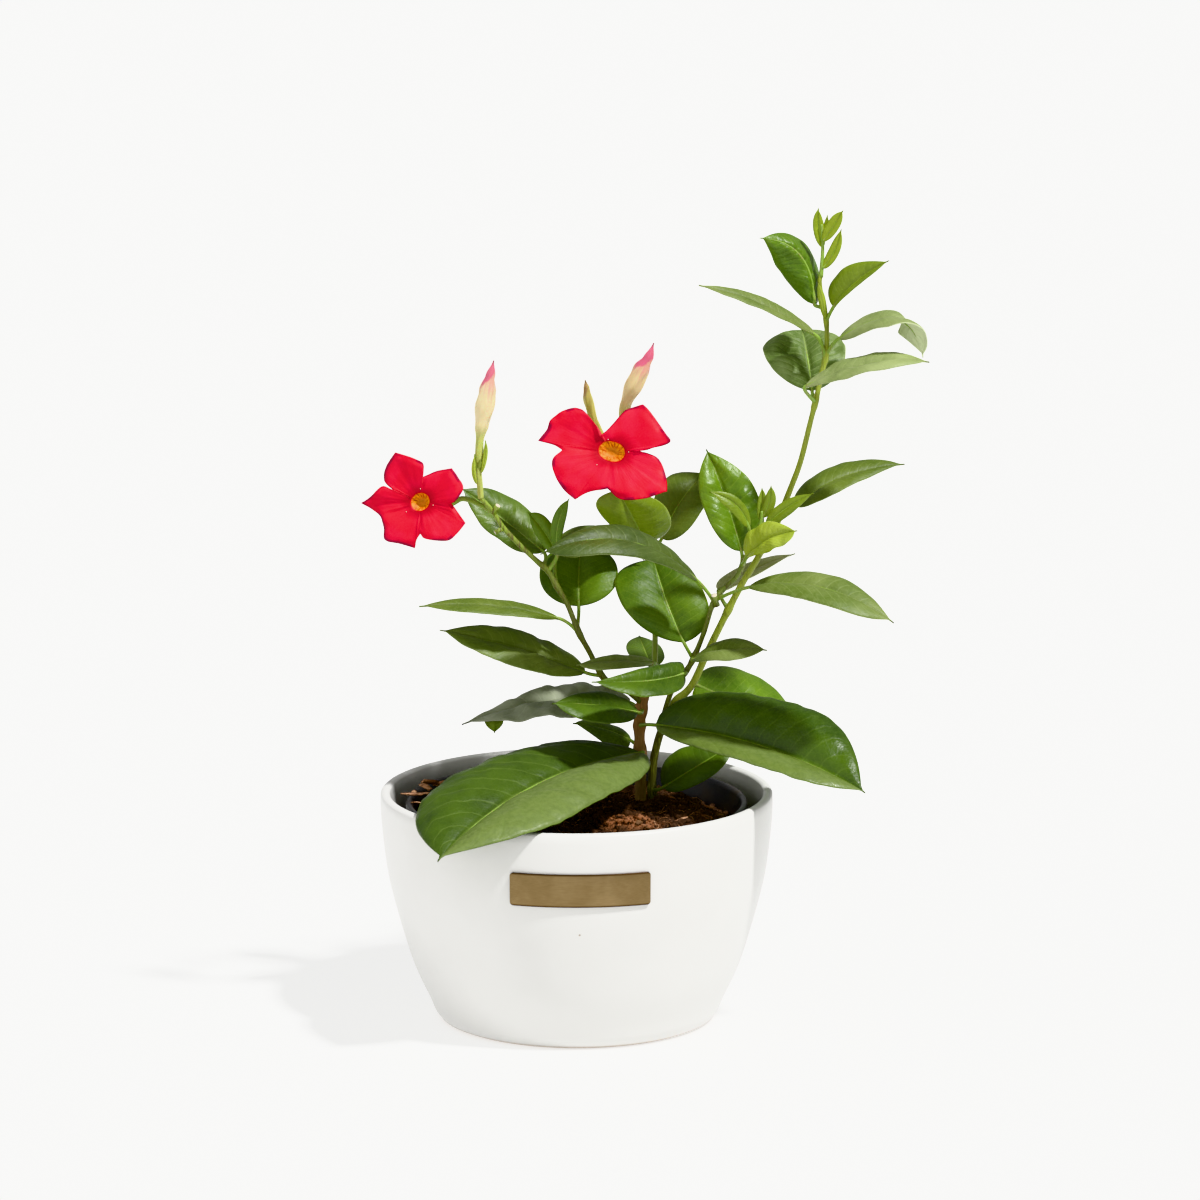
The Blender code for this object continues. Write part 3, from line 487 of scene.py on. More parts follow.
def add_chip(work, x, y, z, length, width, heading=None):
    """One chip of bark: a flat block, tapered, bent and laid at a slant."""
    chip = bmesh.new()
    bmesh.ops.create_cube(chip, size=1.0)
    bmesh.ops.subdivide_edges(chip, edges=chip.edges, cuts=2, use_grid_fill=True)
    thickness = width * rng.uniform(0.25, 0.45)
    bend = rng.uniform(-0.12, 0.12)
    taper = rng.uniform(0.2, 0.7)
    around = rng.uniform(0, tau) if heading is None else radians(heading)
    turn = Matrix.Rotation(around, 4, "Z") @ Matrix.Rotation(rng.uniform(-0.5, 0.5), 4, "Y")
    turn = Matrix.Translation(Vector((x, y, z))) @ turn @ Matrix.Rotation(rng.uniform(-0.6, 0.6), 4, "X")
    for vertex in sorted(chip.verts, key=lambda v: tuple(round(part, 3) for part in v.co)):
        along, wide, deep = vertex.co * 2
        narrow = 1 - taper * abs(along) ** 3
        shape = Vector((along * length / 2, wide * width / 2 * narrow, deep * thickness / 2 * narrow))
        shape.z += bend * length * along * along
        vertex.co = (turn @ (shape + jitter() * width * 0.07)) * MM
    block = bpy.data.meshes.new("chip")
    chip.to_mesh(block)
    chip.free()
    work.from_mesh(block)
    bpy.data.meshes.remove(block)


def add_fibre(work, x, y, length):
    """One bent fibre lying on the surface."""
    heading = rng.uniform(0, tau)
    curl = rng.uniform(-0.5, 0.5)
    path = []
    for i in range(6):
        path.append(Vector((x, y, soil_height(x, y) + 0.25 + sin(i * 0.63) * length * 0.06)))
        x += cos(heading) * length / 5
        y += sin(heading) * length / 5
        heading += curl
    add_tube(work, path, [0.16] * len(path), 4)


soil_work = new_work()
add_sheet(soil_work, SOIL_COLUMNS, SOIL_ROWS, soil_shape)
bmesh.ops.recalc_face_normals(soil_work, faces=soil_work.faces)
piece("soil_plug", soil_work, [peat()], ["soil"])

crumb_work = bmesh.new()
for _ in range(CRUMBS):
    x, y = on_soil(SOIL_EDGE * sqrt(rng.random()))
    add_crumb(crumb_work, x, y, rng.uniform(0.45, 1.1) + rng.random() ** 5 * 2.2)
piece("soil_crumbs", crumb_work, [peat()])

chip_work = bmesh.new()
for _ in range(CHIPS):
    x, y = on_soil(SOIL_EDGE * 0.97 * rng.random() ** 0.35)
    length = rng.uniform(3.0, 9.0)
    add_chip(chip_work, x, y, soil_height(x, y) + 0.6, length, length * rng.uniform(0.25, 0.5))
piece("bark_chips", chip_work, [bark("bark_chip", (0.05, 0.024, 0.013), (0.2, 0.105, 0.05))])

splinter_work = bmesh.new()
for splinter in SPLINTERS:
    add_chip(splinter_work, *splinter)
orange_bark = bark("orange_bark", (0.24, 0.11, 0.06), (0.5, 0.29, 0.17))
piece("bark_splinters", splinter_work, [orange_bark])

fibre_work = new_work()
for _ in range(FIBRES):
    add_fibre(fibre_work, *on_soil(SOIL_EDGE * 0.9 * sqrt(rng.random())), rng.uniform(3.0, 9.0))
piece("soil_fibres", fibre_work, [orange_bark])
print("crumbs", CRUMBS, "chips", CHIPS, "fibres", FIBRES)

# %% [markdown]
# ## The bare plate
# A strip of antique brass is glued to the pot's front. It starts as a flat rectangle whose corners
# are bevelled round, is cut into strips so that it can bend, is given its thickness and a fine
# bevel, and is then rolled onto the wall. It carries no lettering.

# %% Plate
PLATE_LENGTH = 63.5
PLATE_WIDTH = 15.5
PLATE_THICKNESS = 1.0
PLATE_CORNER = 1.6
PLATE_MIDDLE = (2.0, 80.0)
PLATE_CUTS = 36
PLATE_GAP = 0.3


def old_brass():
    """Brushed brass, darkened in patches and at the edges, where the band is partly painted shade."""
    look = Look("old_brass", Metallic=1.0)
    brushed = look.noise(1900.0, 3.0, (0.06, 1, 1.6))
    look.paint(look.between(look.noise(75.0, 4.0), 0.35, 0.7), (0.22, 0.158, 0.08), (0.275, 0.2, 0.105))
    look.paint(look.times(brushed, 0.4), (0.095, 0.064, 0.034))
    # A dark band along the top and bottom edges: partly the brass's own darker edge, and painted shade at
    # the bevelled top edge.
    from_middle = look.maths("ABSOLUTE", look.maths("SUBTRACT", look.split()[2], PLATE_MIDDLE[1] * MM))
    look.paint(look.between(from_middle, 0.0066, 0.0076), (0.06, 0.035, 0.02))
    return look.done(look.scaled(brushed, 0.25, 0.3), look.bump(brushed, 0.00008, 0.5))


def pot_radius(height):
    """The pot's outer radius at a height, in millimetres."""
    for (r0, z0), (r1, z1) in zip(POT_OUTSIDE, POT_OUTSIDE[1:]):
        if z0 <= height <= z1:
            return r0 + (r1 - r0) * (height - z0) / (z1 - z0)
    return POT_OUTSIDE[-1][0]


def plate_work():
    """A rounded strip, thickened, bevelled and rolled onto the pot's wall."""
    work = bmesh.new()
    bmesh.ops.create_grid(work, x_segments=1, y_segments=1, size=0.5)
    bmesh.ops.scale(work, vec=(PLATE_LENGTH, PLATE_WIDTH, 1), verts=work.verts)
    bmesh.ops.bevel(work, geom=work.verts[:], offset=PLATE_CORNER, segments=6, profile=0.5,
                    affect="VERTICES", material=-1)
    for i in range(1, PLATE_CUTS):
        x = PLATE_LENGTH * (i / PLATE_CUTS - 0.5)
        bmesh.ops.bisect_plane(work, geom=work.verts[:] + work.edges[:] + work.faces[:], dist=0.001,
                               plane_co=(x, 0, 0), plane_no=(1, 0, 0))
    top = bmesh.ops.extrude_face_region(work, geom=work.faces[:])["geom"]
    raised = [part for part in top if isinstance(part, bmesh.types.BMVert)]
    bmesh.ops.translate(work, vec=(0, 0, PLATE_THICKNESS), verts=raised)
    bmesh.ops.recalc_face_normals(work, faces=work.faces)
    border = [edge for edge in work.edges if edge.calc_face_angle(0) > 1.0]
    bmesh.ops.bevel(work, geom=border, offset=0.25, segments=2, profile=0.5, affect="EDGES", material=-1)
    for vertex in work.verts:
        height = PLATE_MIDDLE[1] + vertex.co.y
        radius = pot_radius(height) + PLATE_GAP
        angle = (PLATE_MIDDLE[0] + vertex.co.x) / radius
        radius += vertex.co.z
        vertex.co = metres((radius * sin(angle), -radius * cos(angle), height))
    bmesh.ops.recalc_face_normals(work, faces=work.faces)
    return work


plate = piece("bare_plate", plate_work(), [old_brass()], ["plate"])
print("plate", len(plate.data.polygons), "faces")

# %% [markdown]
# ## Stems
# Two stems are rooted: a short woody trunk and a green vine. Three more fork from them. Each is a
# tube along a smooth curve, swollen a little at every joint where leaves are borne. The routes
# repeat those of the frame's own solids, in millimetres.

# %% Routes of the stems
# Each stem: its radius at the foot, its radius at the end, and its route.
STEMS = {
    "trunk": (2.7, 2.4, spots("29.7,24,84 29.3,24,114 29,22,133 31.2,20,146 32.6,20,150")),
    "vine": (2.0, 1.0, spots("""
        35,28,84 35,28,107 37,26,121 41,23,134 45,20,142 53,18,151 61,16,169 74,14,196 83,12,212
        91,10,228 98,8,246 102,6,258 106,5,275 109,4,288 111,4,298 113,4,307 113,4,321 110,4,338
        110.4,4,343""")),
    "side_stem": (1.35, 1.05, spots("""
        38,25,125 40,16,137 44,8,151 52,2,164 58,-4,180 62,-8,194 67,-8,201 73,-8,207 76,-8,214
        82,-8,228""")),
    "left_stem": (1.35, 1.1, spots("""
        31,21,141 22,14,150 14,8,155 10,4,161 6,0,170 1,-3,180 -4,-5,193 -9,-6,202 -13,-6,209
        -18,-8,214 -26,-10,222 -33,-12,230 -38,-14,238 -43,-15,244""")),
    "middle_stem": (1.4, 1.2, spots("""
        31,21,144 35,26,152 36,27,161 36,27,189 35,25,208 34,22,218 32,20,230 28,18,243 24,18,251""")),
}
# Stubs of cut or fallen shoots: the foot and the end of each, and its radius.
STUBS = {
    "left_stem": spots("-37.6,-14.2,237.2,-35.4,-15.4,240.7,1.35 -33.6,-12.4,229.6,-36.7,-13.2,228,1.15"),
    "side_stem": spots("63.6,-8.8,193.6,62.4,-11,198.6,1.5"),
}
STEM_STEP = 1.2
SWELLING = 0.3
SWELLING_REACH = 2.4


def stem_at_height(name, height):
    """The point where a stem passes a height."""
    route = smooth_path(STEMS[name][2], 10.0)
    for a, b in zip(route, route[1:]):
        if a.z <= height <= b.z:
            return a.lerp(b, (height - a.z) / (b.z - a.z))
    return route[-1]


# %% [markdown]
# ## Leaves
# A mandevilla leaf is a leathery oval with a rounded base and a short drawn-out tip. Its midrib lies
# in a valley, each half swells between the midrib and the margin, and a dozen side veins quilt it.
# Cutting such an outline from a plane would leave the veins adrift, so the blade is a grid laid
# along the midrib, and its UV map runs from base to tip and from margin to margin. Veins, mottle and
# gloss then follow the leaf however it bends.

# %% Where each leaf is
# One leaf in each row: its name, its stem and the height where it leaves it, where the blade is
# widest, the tone of its finish, its slot, and five points: the base, middle and tip of the midrib,
# and the left and right margins beside the middle. The number of a row seeds the leaf's ripples.
LEAVES = table(7, """
low_front trunk 118 0.56 front dark 30,14,120 -21,-44,117 -61,-102,97 5,-67,113 -53,-25,120.5
low_right trunk 131 0.64 glossy dark 36,5,135 85,-22,131 130,-50,116 91,-4,150 79,-42,127
low_back_right vine 144 0.45 bright green 55,28,149 80,42,136 105,50,123 82,57,148 70,36,124
sucker vine 99 0.45 deep dark 40,21,102 55,16,113 73,20,123 47,25,119 60,8,109
low_back_left trunk 119 0.45 mid green 25,31,122 13,38,126 -2,42,128 15,30,119 12,52,126
left_grey trunk 138 0.45 grey green 24,27,141 -10,22,143 -53,12,134 -7,4,139 -4,38,146
front_small trunk 139 0.45 deep dark 28,9,140 10,-7,147 -11,-22,151 10,-21,142 11,7,150
centre_flat middle_stem 157 0.45 pale green 35,15,162 18,-4,167 0,-18,168 16,-13,165 21,7,167
centre_front side_stem 160 0.4 deep dark 49,-4,161 31,-20,161 7,-36,164 34,-32,156 36,-6,166
left_big left_stem 158 0.45 satin green 4,3,160 -28,-4,173 -62,-12,183 -31,-16,168 -25,8,178
left_narrow left_stem 179 0.45 sage green -8,-6,187 -38,-14,194 -71,-22,196 -39,-25,193 -39,-2,195
left_dark left_stem 182 0.45 leafy dark 1,7,190 1,18,203 2,34,217 -17,14,205 19,14,205
left_arching left_stem 202 0.45 sage green -8,4,215 10,14,221 31,12,211 7,24,225 10,2,216
big_arch side_stem 195 0.5 moss green 55,-15,206 22,-38,229 -16,-50,225 19,-52,226 25,-22,230
centre_round side_stem 167 0.5 leafy dark 49,-3,175 41,3,193 35,20,211 18,3,197 59,3,196
centre_back middle_stem 153 0.45 mid green 35,34,156 32,48,160 29,66,165 23,50,161 40,50,161
middle_left middle_stem 214 0.5 fresh pale 31,13,219 25,4,233 18,-6,247 10,-2,236 42,10,233
middle_right middle_stem 213 0.5 sage green 39,31,217 48,36,234 60,50,245 39,44,241 57,30,229
right_glossy side_stem 211 0.45 bright green 75,-1,217 68,6,240 59,14,262 57,2,239 83,4,241
right_pale side_stem 212 0.4 young pale 77,-16,217 86,-26,227 99,-36,233 82,-18,232 90,-36,226
new_left side_stem 222 0.45 fresh pale 78,-12,230 72,-14,241 60,-15,247 69,-16,239 74,-13,243
new_right side_stem 223 0.45 fresh pale 86,-13,231 94,-15,239 107,-18,247 92,-12,241 95,-18,236
vine_low vine 229 0.45 sage green 100,20,235 123,30,246 151,38,251 120,42,250 122,18,242
right_arching side_stem 196 0.5 satin green 77.8,-24,204.9 109.3,-42,208.5 141.8,-56,195 \
    111.2,-28,211.5 107.4,-56,204.5
right_back vine 187 0.4 straw pale 65,20,195 80,34,201 101,44,208 77,42,203 81,26,200
right_low side_stem 168 0.5 satin green 53,-7,168 67,-18,175 86,-28,177 69,-6,177 66,-30,173
top_folded vine 328 0.45 bright green 107.6,4,329.4 101.2,4.5,351.7 82.4,-1,360.4 89.7,6.5,347.5 \
    106.2,14.5,351
top_right vine 322 0.4 fresh pale 116,0,329 125,-8,341 140,-14,352 119,1,345 127.5,-12,341.5
top_long vine 305 0.45 satin green 108,1,316 83,-8,331 55,-14,341 81,-18,331.5 86,3,331.5
top_curl vine 306 0.6 pale green 118.6,1,314.4 143.5,-11,325.5 156,-14,308 146.5,2.5,325.2 \
    140.5,-23,323.5
upper_long vine 285 0.45 pale green 103,-10,294 130,-20,306 158,-26,308 131,-6,308 129,-32,304
upper_round vine 284 0.56 striped dark 107,10,289 105,18,304 103,36,314 85,18,306 122.5,18,307
left_upper left_stem 211 0.5 mid green -15,3,216 -32,9,229 -53,9,245 -38,1,224 -24,17,235
""")
# What sets some leaves apart: a turn about the midrib in degrees, a rolled tip, and how strongly the
# blade is quilted and its margin waved.
LEAF_FORMS = {
    "low_front": {"twist": 15},
    "low_right": {"twist": -25},
    "top_curl": {"twist": -80, "tip_roll": -30},
    "left_big": {"quilting": 0.018, "wave": 0.03},
    "right_glossy": {"quilting": 0.02, "wave": 0.03},
    "left_upper": {"quilting": 0.014, "wave": 0.02},
    "left_grey": {"quilting": 0.02, "wave": 0.09},
    "right_pale": {"quilting": 0.02, "wave": 0.09},
    "top_folded": {"quilting": 0.02, "wave": 0.03},
    "upper_long": {"quilting": 0.01, "wave": 0.06},
    "upper_round": {"quilting": 0.03, "wave": 0.02},
}
# Two leaves have a lower face painted much paler than their tone, as painted light shining through the
# blade.
UNDER_TONES = {"top_curl": "bleached", "right_back": "bleached"}

# %% The shape of a leaf
LEAF_THICKNESS = 0.4
LEAF_ROWS = 64
LEAF_COLUMNS = 28
LEAF_BULGE = 0.14
BASE_ROUNDNESS = 2.2
TIP_START = 0.94
TIP_FULLNESS = 2.5
TIP_NARROWNESS = 0.42
SIDE_VEINS = 13
VEIN_RISE = 0.17
QUILT = 0.005
EDGE_WAVE = 0.022
STALK_RADIUS = 0.85
MIDRIB_END = 0.92


def blade_share(t, widest):
    """The blade's half width at a share t of its length: round base, full body, drawn-out tip."""
    if t < widest:
        return (1.0 - (1.0 - t / widest) ** BASE_ROUNDNESS) ** (1.2 / BASE_ROUNDNESS)
    beyond = (t - widest) / (1.0 - widest)
    body = 1.0 - min(1.0, beyond / TIP_START) ** TIP_FULLNESS
    return hypot(body, TIP_NARROWNESS * (1.0 - beyond) * beyond)


def arc_point(base, middle, tip, t):
    """The point at a share t along the arc through the three points."""
    control = 2 * middle - (base + tip) / 2
    return base * (1 - t) ** 2 + control * 2 * t * (1 - t) + tip * t * t


def leaf_frame(base, middle, tip, across, twist, tip_roll):
    """The leaf's upward direction, and a function for the turn of its cross-section along it."""
    reference = (arc_point(base, middle, tip, 0.45) - arc_point(base, middle, tip, 0.27)).normalized()

    def turn(t):
        ahead = arc_point(base, middle, tip, t + 0.01) - arc_point(base, middle, tip, t - 0.01)
        carry = reference.rotation_difference(ahead.normalized()).to_matrix()
        angle = twist * 0.4 * (2 * t - 0.9) + tip_roll * smooth_step(0.45, 0.8, t)
        return Matrix.Rotation(radians(angle), 3, ahead.normalized()) @ carry

    return reference.cross(across).normalized(), turn


def add_leaf(work, points, widest, seed, twist=0, tip_roll=0, quilting=QUILT, wave=EDGE_WAVE,
             rows=LEAF_ROWS, columns=LEAF_COLUMNS):
    """Add one blade with its thickness: material 0 above, material 1 below."""
    base, middle, tip, left, right = [Vector(p) for p in points]
    left, right = left - middle, right - middle
    up, turn = leaf_frame(base, middle, tip, left - right, twist, tip_roll)
    phase = seed * 1.7

    def shape(u, v):
        across = 2 * u - 1
        side = abs(across)
        margin = right if across > 0 else left
        half = margin.length * blade_share(v, widest)
        spot = arc_point(base, middle, tip, v)
        tilt = turn(v)
        line = (v - VEIN_RISE * side ** 1.25) * SIDE_VEINS + (0.5 if across > 0 else 0.0)
        quilt = abs(sin(pi * line)) * smooth_step(0.0, 0.12, side) * smooth_step(1.0, 0.75, side)
        lift = LEAF_BULGE * half * 4 * side * (1 - side) + quilting * half * quilt
        blister = noise.noise(spot * 0.16 + tilt @ margin * (side * 0.14))
        lift += quilting * half * 6 * blister * smooth_step(0.0, 0.2, side)
        ripple = sin(v * 9 + phase + across) * 0.6 + sin(v * 16 + phase * 2 - across) * 0.4
        lift += wave * half * side ** 2 * ripple
        lift += noise.noise(spot * 0.09 + Vector((seed, across, 0))) * 0.03 * half
        groove = -0.35 * smooth_step(0.07, 0.0, side) * smooth_step(0.0, 0.06, v)
        return spot + tilt @ (margin.normalized() * half * side + up * (lift + groove))

    thicken(work, add_sheet(work, columns, rows, shape), LEAF_THICKNESS, 1)
    return up, turn


def add_midrib(work, points, up, turn, start, radius, columns=8):
    """Add the stalk, from inside the stem, and the ridge that it becomes under the blade."""
    base, middle, tip = [Vector(p) for p in points[:3]]
    path, radii = [], []
    if start is not None:
        onward = (arc_point(base, middle, tip, 0.05) - base).normalized()
        bend = base - onward * 0.4 * max(0.1 * (base - start).length, onward.dot(base - start))
        for i in range(10):
            t = i / 10
            path.append(start * (1 - t) ** 2 + bend * 2 * t * (1 - t) + base * t * t)
            radii.append(radius * (1.25 - 0.25 * smooth_step(0.0, 0.4, t)))
    for i in range(21):
        t = MIDRIB_END * i / 20
        thin = radius * (1 - t * 0.8)
        path.append(arc_point(base, middle, tip, t) - turn(t) @ up * (thin * 0.55 + 0.25) * min(1, i / 3))
        radii.append(thin)
    add_tube(work, path, radii, columns, 2)


# %% [markdown]
# ## Leaf finishes
# The upper face is waxy: a saturated green with a clear sheen, a pale midrib and faint side veins.
# The lower face is paler and dull. The side veins are drawn by the same rule that quilts the mesh,
# so the bright lines lie in the furrows. Old leaves are deep green, young ones yellow-green. Some
# tones also hold painted light: a paler greyish green on one half of a blade, or on a whole blade,
# is a painted sheen, and a few tones are made lighter or darker as painted light and shade.

# %% Finishes for leaves and stems
# Dark and light green, the green of veins and margins, roughness, strength of the side veins, and the
# half of the blade that gets a painted sheen, a paler greyish green: -1 left, 1 right, 0 neither.
# The palest tone, used for those lower faces, is painted light shining through the blade.
# front: darker greens as painted shade on the far half of the blade, with the painted sheen on its near
# half.
# grey: greyish greens that are a painted reflection of the bright room on a blade seen edge-on.
# satin: pale greyish greens that are a painted sheen over the whole blade.
# straw: pale yellow-greens made lighter as painted light on a blade that lies in shade.
# striped: strong side veins, and greens made lighter as painted light against the shadow other leaves cast
# on it.
TONES = {tone: spots(numbers) for tone, numbers in table(2, """
deep 0.026,0.058,0.003 0.058,0.108,0.006 0.13,0.19,0.03 0.44,0.22,0
leafy 0.036,0.08,0.003 0.07,0.128,0.005 0.18,0.25,0.035 0.5,0.25,0
glossy 0.021,0.047,0.004 0.05,0.092,0.008 0.12,0.18,0.035 0.32,0.22,1
front 0.022,0.046,0.004 0.045,0.082,0.008 0.115,0.165,0.04 0.45,0.4,-1
mid 0.05,0.092,0.01 0.09,0.145,0.018 0.19,0.25,0.06 0.42,0.25,0
moss 0.036,0.058,0.01 0.06,0.088,0.018 0.16,0.2,0.07 0.48,0.3,0
bright 0.055,0.115,0.006 0.1,0.175,0.012 0.22,0.3,0.05 0.36,0.22,0
striped 0.07,0.115,0.022 0.14,0.195,0.06 0.28,0.34,0.14 0.52,0.5,0
sage 0.06,0.095,0.01 0.098,0.135,0.02 0.2,0.26,0.07 0.5,0.25,0
satin 0.08,0.12,0.02 0.14,0.18,0.048 0.25,0.3,0.11 0.5,0.3,0
pale 0.14,0.185,0.055 0.23,0.275,0.11 0.3,0.35,0.15 0.5,0.3,0
bleached 0.26,0.3,0.14 0.5,0.56,0.33 0.6,0.66,0.42 0.5,0.3,0
grey 0.17,0.19,0.12 0.25,0.27,0.19 0.32,0.34,0.24 0.5,0.3,0
straw 0.27,0.3,0.12 0.4,0.43,0.22 0.45,0.48,0.26 0.5,0.3,0
fresh 0.1,0.15,0.009 0.15,0.21,0.017 0.27,0.34,0.07 0.4,0.22,0
lime 0.16,0.22,0.01 0.24,0.31,0.02 0.34,0.42,0.08 0.42,0.22,0
young 0.19,0.25,0.025 0.27,0.34,0.04 0.38,0.44,0.12 0.42,0.22,0
""")}
# A paler greyish green painted over one half of a blade: a painted sheen, the bright room glancing off it.
PAINTED_SHEEN = (0.125, 0.168, 0.046)


def side_veins(look):
    """How near each point is to a side vein and to the midrib, and how far across the blade it is."""
    u, v, _ = look.split("UV")
    across = look.scaled(u, 2.0, -1.0)
    side = look.maths("ABSOLUTE", across)
    rise = look.times(look.maths("POWER", side, 1.25), VEIN_RISE)
    line = look.times(look.maths("SUBTRACT", v, rise), float(SIDE_VEINS))
    line = look.plus(line, look.times(look.maths("GREATER_THAN", across, 0.0), 0.5))
    line = look.plus(line, look.scaled(look.noise(160.0, 2.0), 0.3, -0.15))
    near = look.maths("PINGPONG", line, 0.5)
    vein = look.times(look.between(near, 0.075, 0.0), look.between(side, 1.0, 0.55))
    return vein, look.between(side, 0.03, 0.01), near, side, across


def leaf_top(tone):
    """The waxy upper face of a leaf."""
    dark, light, pale, (roughness, veins, sheen) = TONES[tone]
    look = Look("leaf_top_" + tone, Specular_IOR_Level=0.4)
    vein, midrib, near, side, across = side_veins(look)
    mottle = look.between(look.noise(420.0, 4.0), 0.3, 0.75)
    look.paint(look.between(look.noise(45.0), 0.35, 0.68), light, dark)
    look.paint(look.times(mottle, 0.35), light)
    # Painted sheen: one half of the blade is painted a paler greyish green.
    if sheen:
        half = look.between(look.times(across, sheen), -0.02, 0.04)
        look.paint(look.times(half, look.scaled(mottle, -0.35, 0.95)), PAINTED_SHEEN)
    look.paint(look.times(vein, veins), pale)
    look.paint(look.times(look.between(side, 0.3, 0.0), 0.15), light)
    net = look.between(look.cells(330.0, "DISTANCE_TO_EDGE"), 0.06, 0.0)
    look.paint(look.times(net, 0.12), pale)
    look.paint(look.times(midrib, 0.45), pale)
    look.paint(look.between(side, 0.975, 0.995), pale)
    skin = look.bump(look.between(near, 0.0, 0.12), 0.0003, 0.2)
    skin = look.bump(look.cells(850.0), 0.00025, 0.3, skin)
    skin = look.bump(look.noise(230.0), 0.0005, 0.3, skin)
    return look.done(look.scaled(mottle, 0.12, roughness), skin)


def leaf_under(tone):
    """The dull, paler lower face of a leaf."""
    light, pale = TONES[tone][1:3]
    look = Look("leaf_under_" + tone, Specular_IOR_Level=0.35)
    vein, midrib, near, _, _ = side_veins(look)
    cloud = look.between(look.noise(60.0), 0.3, 0.7)
    look.paint(cloud, dimmed(pale, 0.85), [0.7 * a + 0.3 * b for a, b in zip(light, pale)])
    look.paint(look.times(look.maths("MAXIMUM", vein, midrib), 0.6), pale)
    ridge = look.bump(look.between(near, 0.12, 0.0), 0.0005, 0.5)
    return look.done(look.scaled(cloud, 0.08, 0.52), ridge)


def stem_skin(name, low, high, start, end, streak, roughness=0.45):
    """Stem skin that changes from one colour to another between two heights, with long streaks."""
    look = Look(name, Specular_IOR_Level=0.45)
    streaks = look.noise(1300.0, 3.0, (1, 1, 0.1))
    look.paint(look.between(look.split()[2], start * MM, end * MM), high, low)
    look.paint(look.between(streaks, 0.45, 0.72), streak)
    pores = look.between(look.cells(620.0, stretch=(1, 1, 0.5)), 0.16, 0.08)
    look.paint(look.times(pores, 0.35), (0.32, 0.3, 0.16))
    return look.done(look.scaled(streaks, 0.2, roughness), look.bump(streaks, 0.0004, 0.5))


leaf_tops = {tone: leaf_top(tone) for tone in TONES}
leaf_unders = {tone: leaf_under(tone) for tone in TONES}
stalk_skin = stem_skin("stalk_skin", (0.15, 0.25, 0.035), (0.2, 0.32, 0.05), 100, 330, (0.22, 0.2, 0.07))
# The vine's near-black colour low down is partly its own dark skin and partly painted shade under the
# leaves.
SKINS = {
    "trunk": ("trunk_bark", (0.3, 0.22, 0.12), (0.27, 0.15, 0.07), 100, 135, (0.2, 0.12, 0.06), 0.7),
    "vine": ("vine_skin", (0.07, 0.07, 0.02), (0.24, 0.29, 0.035), 120, 165, (0.17, 0.19, 0.035)),
    "side_stem": ("side_skin", (0.12, 0.14, 0.03), (0.13, 0.18, 0.035), 150, 230, (0.09, 0.07, 0.03)),
    "left_stem": ("left_skin", (0.1, 0.12, 0.022), (0.2, 0.28, 0.04), 190, 245, (0.09, 0.07, 0.025)),
    "middle_stem": ("middle_skin", (0.15, 0.2, 0.03), (0.19, 0.27, 0.04), 150, 240, (0.1, 0.09, 0.03)),
}
cut_face = Look("cut_face", Base_Color=(0.6, 0.54, 0.42, 1.0), Roughness=0.7).material

# %% Build the stems
for name, (first, last, route) in STEMS.items():
    path = smooth_path(route, STEM_STEP)
    joints = [float(height) for _, stem, height, *_ in LEAVES if stem == name]
    radii = []
    for i, spot in enumerate(path):
        radius = first + (last - first) * i / (len(path) - 1)
        swell = sum(exp(-((spot.z - joint) / SWELLING_REACH) ** 2) for joint in joints)
        radii.append(radius * (1 + SWELLING * min(1.0, swell) + 0.05 * noise.noise(spot * 0.3)))
    stem_work = new_work()
    add_tube(stem_work, path, radii, 14)
    for *ends, radius in STUBS.get(name, []):
        foot, end = Vector(ends[:3]), Vector(ends[3:])
        add_tube(stem_work, [foot, foot.lerp(end, 0.5), end], [radius * 1.1, radius * 0.9, radius], 12)
        add_tube(stem_work, [foot.lerp(end, 0.9), foot.lerp(end, 1.05)], [radius * 0.9] * 2, 12, 1)
    slot = "bark_brown" if name == "trunk" else "stem_green"
    piece(name + "_skin", stem_work, [stem_skin(*SKINS[name]), cut_face], [name])
print("stems", len(STEMS))

# %% Build the leaves
for number, (name, stem, height, widest, tone, slot, points) in enumerate(LEAVES):
    leaf_work = new_work()
    up, turn = add_leaf(leaf_work, spots(points), float(widest), number, **LEAF_FORMS.get(name, {}))
    add_midrib(leaf_work, spots(points), up, turn, stem_at_height(stem, float(height)), STALK_RADIUS)
    looks = [leaf_tops[tone], leaf_unders[UNDER_TONES.get(name, tone)], stalk_skin]
    piece(f"leaf_{name}_blade", leaf_work, looks, ["leaf_" + name])
print("leaves", len(LEAVES))

# %% [markdown]
# A few small blades have no solid of their own: a scrap of margin that curls under the left leaf, two
# bracts at the foot of the tall bud, and one against the vine below its tip.

# %% Small blades
# Each blade: where it is widest, its tone, and the same five points as a leaf.
SMALL_BLADES = table(4, """
curled_margin 0.25 bright -38.1,13,137 -38,11.5,133.4 -37.8,12.5,129.8 -42.4,12,134.2 -33.6,12,134.2
bud_bract_right 0.45 young -42.6,-17.9,256 -40.9,-18.4,264.5 -40.9,-17.6,271.2 -41.9,-18.2,264.6 \
    -39.8,-18.2,264.2
bud_bract_left 0.45 young -45,-18.2,251 -46.3,-18.8,257.5 -45.5,-18.2,264.5 -47.2,-18.4,257.5 \
    -45.2,-18.4,257.5
vine_bract 0.5 young 112.4,2.3,323.2 110.9,0.8,331.5 108.9,1.2,340 109.2,1.6,331.2 112.6,1.6,331.8
""")
for number, (name, widest, tone, points) in enumerate(SMALL_BLADES):
    blade_work = new_work()
    add_leaf(blade_work, spots(points), float(widest), number, rows=24, columns=12)
    piece(name, blade_work, [leaf_tops[tone], leaf_unders[tone]])
print("small blades", len(SMALL_BLADES))

# %% [markdown]
# ## Growing tips
# At three places a shoot is opening: small folded leaflets stand round the end of the stem. They are
# the same blade at a smaller size and with fewer rows.

# %% Growing tips
SHOOT_RADIUS = 1.1
